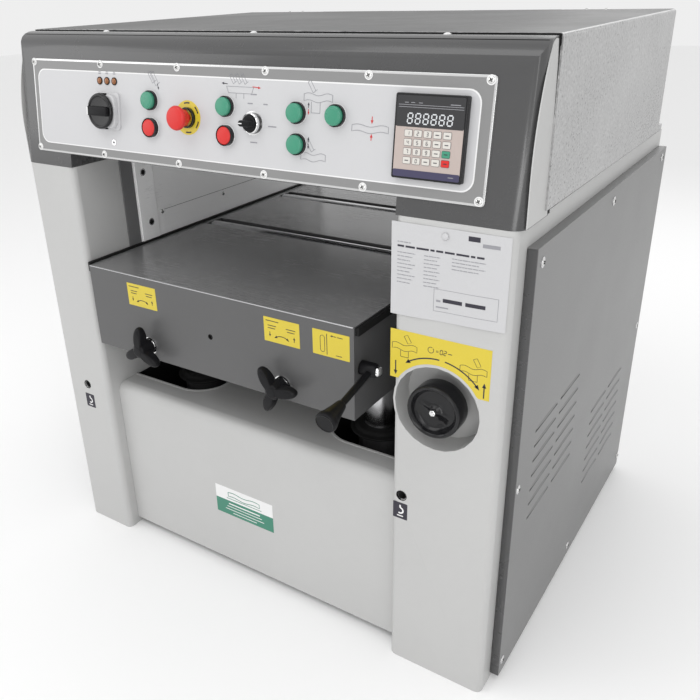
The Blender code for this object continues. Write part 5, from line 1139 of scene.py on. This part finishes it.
def pocket_sticker():
    """The yellow sticker over the handwheel's pocket; its foot is a circle, z = c + sqrt(R^2 - x^2)."""
    x, _, z = joints["handwheel_spin"]["pos_m"]
    a0, a1, b0, b1 = 0.3275, 0.4990, 0.612, 0.698
    a = np.linspace(a0, a1, 60)
    inside = np.maximum(POCKET_STICKER_GAP ** 2 - (a - x) ** 2, 0.0)
    foot = np.clip(np.where(inside > 0, z + np.sqrt(inside), b0), b0, b1 - 0.004)
    piece("pocket_sticker", [band(front_face, np.stack([a, foot], axis=-1),
                                  np.stack([a, np.full_like(a, b1)], axis=-1), 0.0, STICKER)], sticker_yellow)
    prints = []
    spot = shifted(front_face, x, z)
    prints += arrow(spot, arc((0, 0), 0.0905, 88.0, 128.0, 16), 0.0022, STICKER, INK)
    prints += arrow(spot, arc((0, 0), 0.0905, 82.0, 38.0, 16), 0.0022, STICKER, INK)
    prints += arrow(spot, [(-0.0735, 0.072), (-0.0735, 0.046)], 0.0020, STICKER, INK)
    prints += arrow(spot, [(0.0790, 0.044), (0.0790, 0.070)], 0.0020, STICKER, INK)
    thin = 0.0007
    for a, b in ((-0.058, 0.098), (0.060, 0.086)):
        prints += [stroke(spot, board_outline(a, b, 0.044, 0.010), thin, STICKER, INK)]
        prints += lines(spot, [((a - 0.007, b - 0.006), (a - 0.007, b - 0.017)),
                               ((a + 0.007, b - 0.006), (a + 0.007, b - 0.017)),
                               ((a - 0.007, b - 0.017), (a + 0.007, b - 0.017))], thin, STICKER, INK)
        along, side = np.array([0.50, -0.86]) * 0.014, np.array([0.86, 0.50]) * 0.0035
        start = np.array([a + 0.002, b + 0.021])
        knife = [start - side, start + along - side, start + along + side, start + side, start - side]
        prints += [stroke(spot, knife, thin, STICKER, INK)]
    turn = arc((-0.012, 0.1045), 0.0050, 60.0, 400.0, 16)
    prints += [stroke(spot, turn, 0.0009, STICKER, INK)]
    prints += lines(spot, [((-0.003, 0.1055), (0.001, 0.1055)), ((-0.003, 0.1035), (0.001, 0.1035))], 0.0008,
                    STICKER, INK)
    for number, digit in enumerate("02"):
        prints += numeral(spot, 0.006 + number * 0.0065, 0.1045, 0.0075, digit, 0.0010, STICKER + 0.0001)
    prints += lines(spot, [((0.0090, 0.1010), (0.0096, 0.1010)), ((0.0175, 0.1045), (0.0240, 0.1045))],
                    0.0012, STICKER, INK)
    piece("pocket_sticker_prints", prints, print_black)


def info_card():
    """A pinned card with grey bars and a box; it stands off the casing, in mm, by
    0.6 + 1.4 (1 - t)^2 (0.6 + 0.4 sin 3 pi s) + 0.6 sin^2(2.2 pi s), s across and t up the card.
    """
    a = np.linspace(0.3275, 0.5160, 40)
    b = np.linspace(0.7245, 0.8740, 24)

    def card(u, v, w):
        """A place on the bowed card, w above its sheet."""
        s, t = (u - a[0]) / (a[-1] - a[0]), (v - b[0]) / (b[-1] - b[0])
        bow = (0.0006 + 0.0014 * (1 - t) ** 2 * (0.6 + 0.4 * np.sin(3.0 * math.pi * s))
               + 0.0006 * np.sin(2.2 * math.pi * s) ** 2)
        return front_face(u, v + 0.006 * s * (1.0 - t), bow + w)

    across, up = np.meshgrid(a, b, indexing="ij")
    curl = -0.0042 * np.clip((across - 0.5115) / 0.0085, 0.0, 1.0) ** 2
    outer, inner = card(across, up, curl), card(across, up, curl - 0.0003)
    piece("info_card", [grid(np.concatenate([outer, inner[:, ::-1]], axis=1), close_columns=True)], paper)

    def bar(u0, u1, v, width):
        """A printed bar cut into short steps so that it follows the bow."""
        u = np.linspace(u0, u1, 14)
        return stroke(card, np.stack([u, np.full_like(u, v)], axis=-1), width, 0.0, 0.00025)

    def words(u0, u1, v, width, seed=0):
        """A row of word-like bars: lengths and gaps repeat a short pattern until the row is full."""
        row, u, step = [], u0, seed
        while u < u1:
            end = min(u + width * (2.2 + 1.5 * ((step * 5) % 4)), u1)
            row.append(bar(u, end, v, width))
            u, step = end + width * 0.9, step + 1
        return row

    dark, grey = words(0.338, 0.478, 0.8370, 0.0030, 1), words(0.338, 0.360, 0.8435, 0.0014)
    for row in range(9):
        grey += words(0.338, 0.368 - 0.004 * (row % 3), 0.827 - row * 0.0060, 0.0012, row)
        grey += words(0.383, 0.409 - 0.005 * (row % 2), 0.827 - row * 0.0060, 0.0012, row + 2)
    for row in range(4):
        grey += words(0.428, 0.480 - 0.010 * (row % 2), 0.829 - row * 0.0055, 0.0012, row)
    grey += [bar(0.401, 0.503, 0.777, 0.0005), bar(0.401, 0.503, 0.741, 0.0005)]
    for u in (0.401, 0.503):
        v = np.linspace(0.741, 0.777, 10)
        grey.append(stroke(card, np.stack([np.full_like(v, u), v], axis=-1), 0.0005, 0.0, 0.00025))
    dark += words(0.416, 0.484, 0.7600, 0.0060, 2)
    grey += [bar(0.405, 0.412, 0.758, 0.0030), bar(0.405, 0.425, 0.7480, 0.0020)]
    dark += [bar(0.452, 0.470, 0.8640, 0.0075)]
    grey += [bar(0.474, 0.500, 0.8560, 0.0055)]
    piece("info_card_dark_bars", dark, print_black)
    piece("info_card_grey_bars", grey, print_grey)
    pin = shifted(front_face, 0.416, 0.862)
    t = np.linspace(0.0, math.pi / 2, 6)
    dome = np.stack([0.0055 * np.cos(t), 0.0022 + 0.0022 * np.sin(t)], axis=-1)
    piece("info_card_pin", [turned(np.vstack([[0, 0], dome[:-1], [0, 0.0044]]), pin, 28)], paper)


def base_label():
    """A plain two-part label on the base: white above, green below, with bars."""
    a0, a1, b0, b1 = -0.119, 0.036, 0.145, 0.216
    split = b0 + 0.0380
    piece("base_label_white", [tablet(base_face, a0, a1, split, b1, 0.0, STICKER, 0.001)], print_white)
    piece("base_label_green", [tablet(base_face, a0, a1, b0, split, 0.0, STICKER, 0.001)], sticker_green)
    green = []
    bars = ((0.035, 0.120, 0.0030), (0.030, 0.125, 0.0016), (0.025, 0.130, 0.0016), (0.045, 0.110, 0.0016))
    for row, (start, end, width) in enumerate(bars):
        b = split - 0.008 - row * 0.0075
        green += lines(base_face, [((a0 + start, b), (a0 + end, b))], width, STICKER, INK)
    piece("base_label_light_bars", green, print_white)
    middle_of_white = shifted(base_face, (a0 + a1) / 2, split + 0.016)
    board = [stroke(middle_of_white, board_outline(0, 0, 0.085, 0.010), 0.0016, STICKER, INK)]
    board += lines(base_face, [((a0 + 0.030, split + 0.006), (a1 - 0.030, split + 0.006))], 0.0014, STICKER,
                   INK)
    piece("base_label_board", board, sticker_green)


def handwheel():
    """The dished handwheel: a smooth rim, a dish with a thumb scoop and a spoke ridge, and a chrome nut."""
    x, y, z = joints["handwheel_spin"]["pos_m"]
    spot = facing_back(x=x, z=z)
    front, end = low("handwheel").y, high("handwheel").y
    rim, back = WHEEL_RIM, front + 0.038
    profile = [(rim - WHEEL_LIP, front + 0.0025), (rim - 0.0050, front + 0.0002), (rim - 0.0025, front),
               (rim, front + 0.0040), (rim, back - 0.003), (rim - 0.003, back), (0.018, back),
               (0.018, back + 0.012), (0.010, back + 0.012), (0.010, end), (0, end)]
    wheel = turned(soften(profile, 0.0020, 4), spot, 96)
    r = np.linspace(0.0, rim - WHEEL_LIP, 30)[:, None]
    t = np.linspace(0.0, TAU, 96, endpoint=False)[None, :]
    dish = WHEEL_DISH * np.clip((rim - WHEEL_LIP - r) / 0.006, 0.0, 1.0) ** 0.6
    px, pz = r * np.cos(t), r * np.sin(t)
    scoop = 0.0050 * np.exp(-((px - 0.010) ** 2 + (pz + 0.022) ** 2) / (2 * 0.0075 ** 2))
    ridge = 0.0042 * np.exp(-((pz * 0.94 + px * 0.34) / 0.0050) ** 2) * np.clip(1 - r / 0.036, 0, 1)
    boss = 0.0045 * np.exp(-(r / 0.0085) ** 4)
    depth = front + 0.0025 + dish + scoop - ridge - boss
    face = grid(spot(px, pz, depth + 0.0 * t), close_columns=True)
    piece("handwheel_rim", [wheel, face], gloss_black, "handwheel", replaces=("handwheel",),
          slot="black_plastic", smooth=50.0)
    centre = float(front + 0.0025 + WHEEL_DISH - 0.0042 - 0.0045)
    six = np.radians(np.arange(6) * 60.0 + 12.0)
    levels = ((0.0058, centre + 0.003), (0.0058, centre - 0.0042), (0.0050, centre - 0.0050))
    nut = capped(np.array([spot(s * np.cos(six), s * np.sin(six), h) for s, h in levels]))
    stem = turned(soften([(0, centre - 0.004), (0.0030, centre - 0.0040), (0.0030, centre - 0.0072),
                          (0, centre - 0.0078)], 0.0008, 3), spot, 24)
    piece("handwheel_nut", [nut, stem], chrome, "handwheel", bevel=0.0003)
    head = soften([(0, FRONT + 0.0505), (0.0040, FRONT + 0.0500), (0.0040, FRONT + 0.0480),
                   (0, FRONT + 0.0470)], 0.001, 3)
    piece("pocket_screw", [turned(head, facing_back(x=x - 0.058, z=z - 0.014), 20)], screw_zinc)


def clamp_knobs():
    """Three-lobed knobs: reach = core + (tip - core)(0.5 + 0.5 cos 3t)^2.6, thinner to the lobes' rims."""
    for side in ("left", "right"):
        node = f"table_clamp_knob_{side}"
        x, y, z = joints[f"clamp_knob_{side}_turn"]["pos_m"]
        spot = facing_front(x=x, z=z)
        back, front = -(y - 0.016), -low(node).y
        phase = math.radians(KNOB_TURNS[side])
        t = np.linspace(0.0, TAU, 120, endpoint=False)[None, :]
        wave = (0.5 + 0.5 * np.cos(3.0 * (t - phase))) ** KNOB_SHARPNESS
        reach = KNOB_CORE + (KNOB_REACH - KNOB_CORE) * wave
        mid, half = (back + front) / 2, (front - back) / 2
        s = np.sin(0.5 * math.pi * np.linspace(0.0, 1.0, 16))[:, None]
        dome = np.clip(1.0 - s ** 14, 0.0, 1.0) ** 0.5
        upper = mid + half * (1.0 - 0.30 * (s * reach / KNOB_REACH) ** 2) * dome
        lower = mid - half * dome + 0.0 * t
        top_face = spot(s * reach * np.cos(t), s * reach * np.sin(t), upper)
        low_face = spot(s * reach * np.cos(t), s * reach * np.sin(t), lower)
        lobes = grid(np.concatenate([top_face, low_face[::-1]], axis=0), close_columns=True)
        hub = turned(soften([(0, front + 0.0005), (0.0095, front + 0.0005), (0.0150, front - 0.003),
                             (0.0165, back), (0.0165, -(TABLE_FRONT) + 0.0042),
                             (0.0110, -(TABLE_FRONT) + 0.0042), (0.0110, back), (0, back)], 0.0015, 3), spot,
                     48)
        stud = turned(np.array([(0, front - 0.003), (0.0058, front - 0.003),
                                (0.0058, -(TABLE_FRONT + 0.0138)), (0, -(TABLE_FRONT + 0.0138))]), spot, 24)
        piece(node + "_lobes", [lobes, hub, stud], black_plastic, f"clamp_knob_{side}", replaces=(node,),
              slot="black_plastic", smooth=50.0)
        washer = [ring(spot, (0, 0), 0.0065, 0.0185, -TABLE_FRONT + 0.0002, -TABLE_FRONT + 0.0022, 48),
                  ring(spot, (0, 0), 0.0065, 0.0140, -TABLE_FRONT + 0.0022, -TABLE_FRONT + 0.0040, 48)]
        piece(f"clamp_knob_{side}_washer", washer, chrome, "table")


def roller_lever():
    """The bed rollers' lever: a hub and bright bolt on the table's side, a round rod and a flared grip."""
    x, y, z = joints["roller_lever_turn"]["pos_m"]
    droop = math.radians(12.0)
    along = (0.0, -math.cos(droop), -math.sin(droop))
    spot = plane((x, y, z), (1, 0, 0), (0, math.sin(droop), -math.cos(droop)), along)
    grip_start, end = 0.098, 0.150
    profile = [(0, 0.002), (0.0060, 0.002), (0.0060, grip_start), (0.0088, grip_start),
               (0.0115, grip_start + 0.015), (0.0160, grip_start + 0.034), (0.0190, end - 0.010),
               (0.0190, end - 0.003), (0.0165, end), (0.0150, end - 0.0012), (0, end - 0.0006)]
    arm = turned(soften(profile, 0.0030, 4), spot, 48)
    side = axis_x(y, z)
    face = TABLE_RIGHT + 0.0004
    hub = turned(soften([(0, face), (0.0130, face), (0.0130, face + 0.026), (0.0105, face + 0.0325),
                         (0, face + 0.0325)], 0.002, 3), side, 40)
    piece("roller_lever_arm", [arm, hub], black_plastic, "roller_lever", replaces=("bed_roller_lever",),
          slot="black_plastic")
    t = np.linspace(0.0, math.pi / 2, 9)
    dome = np.stack([0.0092 * np.cos(t), face + 0.0335 + 0.0062 * np.sin(t)], axis=-1)
    bolt = turned(np.vstack([[0, face + 0.031], [0.0092, face + 0.031], dome[:-1], [0, dome[-1, 1]]]), side,
                  32)
    pin = turned(np.array([(0, face - 0.013), (0.0058, face - 0.013), (0.0058, face + 0.004),
                           (0, face + 0.004)]), side, 24)
    piece("roller_lever_bolt", [bolt, pin], chrome, "roller_lever")


def left_wall_fittings():
    """The left inner wall: a seal strip, a folded bracket and its screws, the liner's seam and screws."""
    foot, top = high("rear_base_panel").z, CABINET_TOP - 0.004
    seam = low("left_guide_plate").y
    strip = tablet(left_wall, -0.3200, seam - 0.0005, foot, top, 0.0002, 0.0030, 0.001, 0.0004)
    piece("wall_seal_strip", [strip], seal_grey)
    liner = high("left_guide_plate").x - OPENING_LEFT
    on_liner = shifted(left_wall, 0, 0, liner)
    bracket = [tablet(on_liner, seam + 0.0030, -0.2310, foot + 0.01, top, 0.0001, 0.0024, 0.0015, 0.0006)]
    piece("wall_bracket", bracket, zinc_sheet)
    on_bracket = shifted(on_liner, 0, 0, 0.0024)
    spots = [(-0.261, 0.839), (-0.253, 0.727), (-0.253, 0.600)]
    screws("wall_bracket_screws", on_bracket, spots, 0.0055, 0.0030, metal=black_and_painted_shade)
    piece("wall_bracket_washers", [ring(on_bracket, at, 0.0052, 0.0080, 0.0, 0.0008, 28) for at in spots],
          bright_steel)
    piece("wall_liner_seam", lines(on_liner, [((-0.214, 0.7440), (0.400, 0.7440))], 0.0008, 0.0, 0.0003),
          black_and_painted_shade)
    screws("wall_liner_screws", on_liner, [(-0.214, 0.741), (-0.002, 0.734), (0.210, 0.734)], 0.0050, 0.0026)


def wells():
    """A black sheet of painted shade inside each well, and a light folded lip round each well in the base's
    shelf.
    """
    shelf, end = high("front_base_panel").z, high("front_base_panel").y
    front, corner = FRONT + 0.088, 0.070
    for side, wall, sign in (("left", OPENING_LEFT, 1.0), ("right", OPENING_RIGHT, -1.0)):
        column = middle(f"lifting_column_front_{side}").x
        stop = column + sign * 0.0895
        angles = np.radians(np.linspace(-90.0, 0.0, 14))
        bend = np.stack([stop - sign * corner + sign * corner * np.cos(angles),
                         front + corner + corner * np.sin(angles)], axis=-1)
        edge = np.vstack([[(wall + sign * 0.0012, front)], bend, [(stop, end - 0.004)]])
        level = facing_up(z=shelf)
        lip = stroke(level, edge, 0.0050, 0.0, 0.0014)
        piece(f"well_lip_{side}", [lip], light_grey, bevel=0.0004)
        # A black wall round the inside of the well: painted shade in the well.
        loop = np.vstack([[(wall + sign * 0.0012, end - 0.004)], edge])
        sheet = stroke(level, loop, 0.0008, -0.110, -0.0012)
        piece(f"well_painted_shade_{side}", [sheet], black_rubber_and_painted_shade)


def bumpers():
    """Small light pads on the console's crown that the hood closes against."""
    crown = facing_up(z=high("front_console").z)
    profile = soften([(0, -0.001), (0.0060, -0.001), (0.0056, 0.0006), (0.0030, 0.0020), (0, 0.0024)], 0.0008,
                     3)
    pads = [turned(profile, shifted(crown, x, low("hood").y - 0.007), 24) for x in (-0.320, 0.028, 0.372)]
    piece("hood_bumpers", pads, print_white)


def hood_details():
    """A black strip of painted shade for the gap under the hood's top edge, dark side seams by the console's
    cheeks, and the hinge's screws.
    """
    front, top, half = low("hood").y, high("hood").z, high("hood").x
    face = facing_front(y=front)
    # A black strip across the hood's front below its top edge: painted shade of the gap there.
    piece("hood_front_gap_painted_shade", [tablet(face, -half + 0.002, half - 0.002, top - 0.016, top - 0.0008, 0.0,
                                     0.0022, 0.0004)], black_rubber_and_painted_shade, "hood")
    for side, sign in SIDES:
        cheek = facing_side(sign * CONSOLE_HALF, sign, FRONT)
        seam = np.array([(0.0680, 1.1262), (0.0740, 1.097), (0.0815, 0.990), (0.0920, 0.886)])
        over = seam + (0.0115, 0.0)
        piece(f"console_seam_{side}", [band(cheek, seam[::-1], over[::-1], -0.0005, 0.0010)], black_rubber_and_painted_shade)
    lid = facing_up(y=high("hood").y - 0.018, z=top)
    screws("hinge_screws", lid, [(x, 0.0) for x in (-0.40, -0.36, 0.36, 0.40)], 0.0040, 0.0018, "hood")


def table_edges():
    """Black strips of painted shade for the gaps along the table's sides, and the bright ground edge across
    its front.
    """
    near, far = TABLE_FRONT + 0.004, high("table_bed").y - 0.010
    # A black strip on each side of the table: painted shade in the gap between table and wall.
    for side, x, sign, rise in (("left", TABLE_LEFT, -1.0, 0.0040), ("right", TABLE_RIGHT, 1.0, -0.0020)):
        spot = facing_side(x, sign)
        piece(f"table_side_gap_painted_shade_{side}", [tablet(spot, near, far, TABLE_TOP - 0.016, TABLE_TOP + rise, 0.0003,
                                             0.0075, 0.001, 0.0006)], black_rubber_and_painted_shade, "table")
    x = np.array([TABLE_LEFT + 0.002, TABLE_RIGHT - 0.002])
    corner = np.array([(-0.0002, -0.0016), (-0.0002, -0.0006), (0.0006, 0.0001), (0.0018, 0.0001),
                       (0.0018, -0.0016)])
    rings = [np.stack([np.full(5, at), TABLE_FRONT + corner[:, 0], TABLE_TOP + corner[:, 1]], axis=-1)
             for at in x]
    piece("table_front_edge", [capped(np.array(rings))], bright_steel, "table")


cheeks()
louvres()
panel_fixings()
lift_points()
apron_stickers()
pocket_sticker()
info_card()
base_label()
handwheel()
clamp_knobs()
roller_lever()
left_wall_fittings()
wells()
bumpers()
hood_details()
table_edges()

# ------------------------------------------------------------------ floor, light and camera


def studio():
    """A pale floor, an even bright surround and five soft lamps."""
    mesh = bpy.data.meshes.new("studio_floor")
    reach = 14.0
    corners, faces = [(-reach, -reach, 0), (reach, -reach, 0), (reach, reach, 0),
                      (-reach, reach, 0)], [(0, 1, 2, 3)]
    mesh.from_pydata(corners, [], faces)
    floor = bpy.data.objects.new("studio_floor", mesh)
    bpy.context.scene.collection.objects.link(floor)
    pale = bpy.data.materials.new("pale_floor")
    pale.use_nodes = True
    shader = pale.node_tree.nodes["Principled BSDF"]
    shader.inputs["Base Color"].default_value = (0.93, 0.93, 0.93, 1.0)
    shader.inputs["Roughness"].default_value = 0.85
    mesh.materials.append(pale)
    world = bpy.data.worlds.new("studio")
    bpy.context.scene.world = world
    world.use_nodes = True
    world.node_tree.nodes["Background"].inputs["Color"].default_value = (1.0, 1.0, 1.0, 1.0)
    world.node_tree.nodes["Background"].inputs["Strength"].default_value = 0.86
    for name, place, aim, size, power in (
            ("key_lamp", (2.4, -2.6, 3.0), (0.0, 0.0, 0.7), 1.8, 20.0),
            ("fill_lamp", (-2.8, -2.4, 1.8), (-0.2, -0.2, 0.7), 2.0, 16.0),
            ("overhead_lamp", (-0.3, -1.5, 2.9), (0.0, -0.35, 1.0), 1.6, 13.0),
            ("low_lamp", (1.5, -2.9, 1.1), (-0.35, 0.0, 0.76), 1.0, 13.0),
            ("back_lamp", (0.4, 2.6, 2.6), (0.0, 0.0, 0.9), 2.0, 16.0)):
        lamp = bpy.data.lights.new(name, "AREA")
        lamp.size = size
        lamp.energy = power
        thing = bpy.data.objects.new(name, lamp)
        thing.location = place
        thing.rotation_euler = (Vector(aim) - Vector(place)).to_track_quat("-Z", "Y").to_euler()
        bpy.context.scene.collection.objects.link(thing)
    bpy.context.scene.view_settings.view_transform = "Standard"


def camera():
    """A camera at standing eye height, to the operator's right, looking down and in at the console."""
    yaw, pitch, roll = math.radians(34.654), math.radians(-24.985), math.radians(-1.909)
    ahead = Vector((-math.sin(yaw) * math.cos(pitch), math.cos(yaw) * math.cos(pitch), math.sin(pitch)))
    right = Vector((math.cos(yaw), math.sin(yaw), 0.0))
    up = right.cross(ahead)
    across = math.cos(roll) * right + math.sin(roll) * up
    upward = -math.sin(roll) * right + math.cos(roll) * up
    lens = bpy.data.cameras.new("studio_camera")
    lens.lens = 39.78
    lens.sensor_width = 36.0
    lens.shift_x = 0.0481
    lens.shift_y = -0.0113
    thing = bpy.data.objects.new("studio_camera", lens)
    bpy.context.scene.collection.objects.link(thing)
    turn = Matrix((across, upward, -ahead)).transposed().to_4x4()
    thing.matrix_world = Matrix.Translation((0.8698, -1.4346, 1.2017)) @ turn
    bpy.context.scene.camera = thing


studio()
camera()
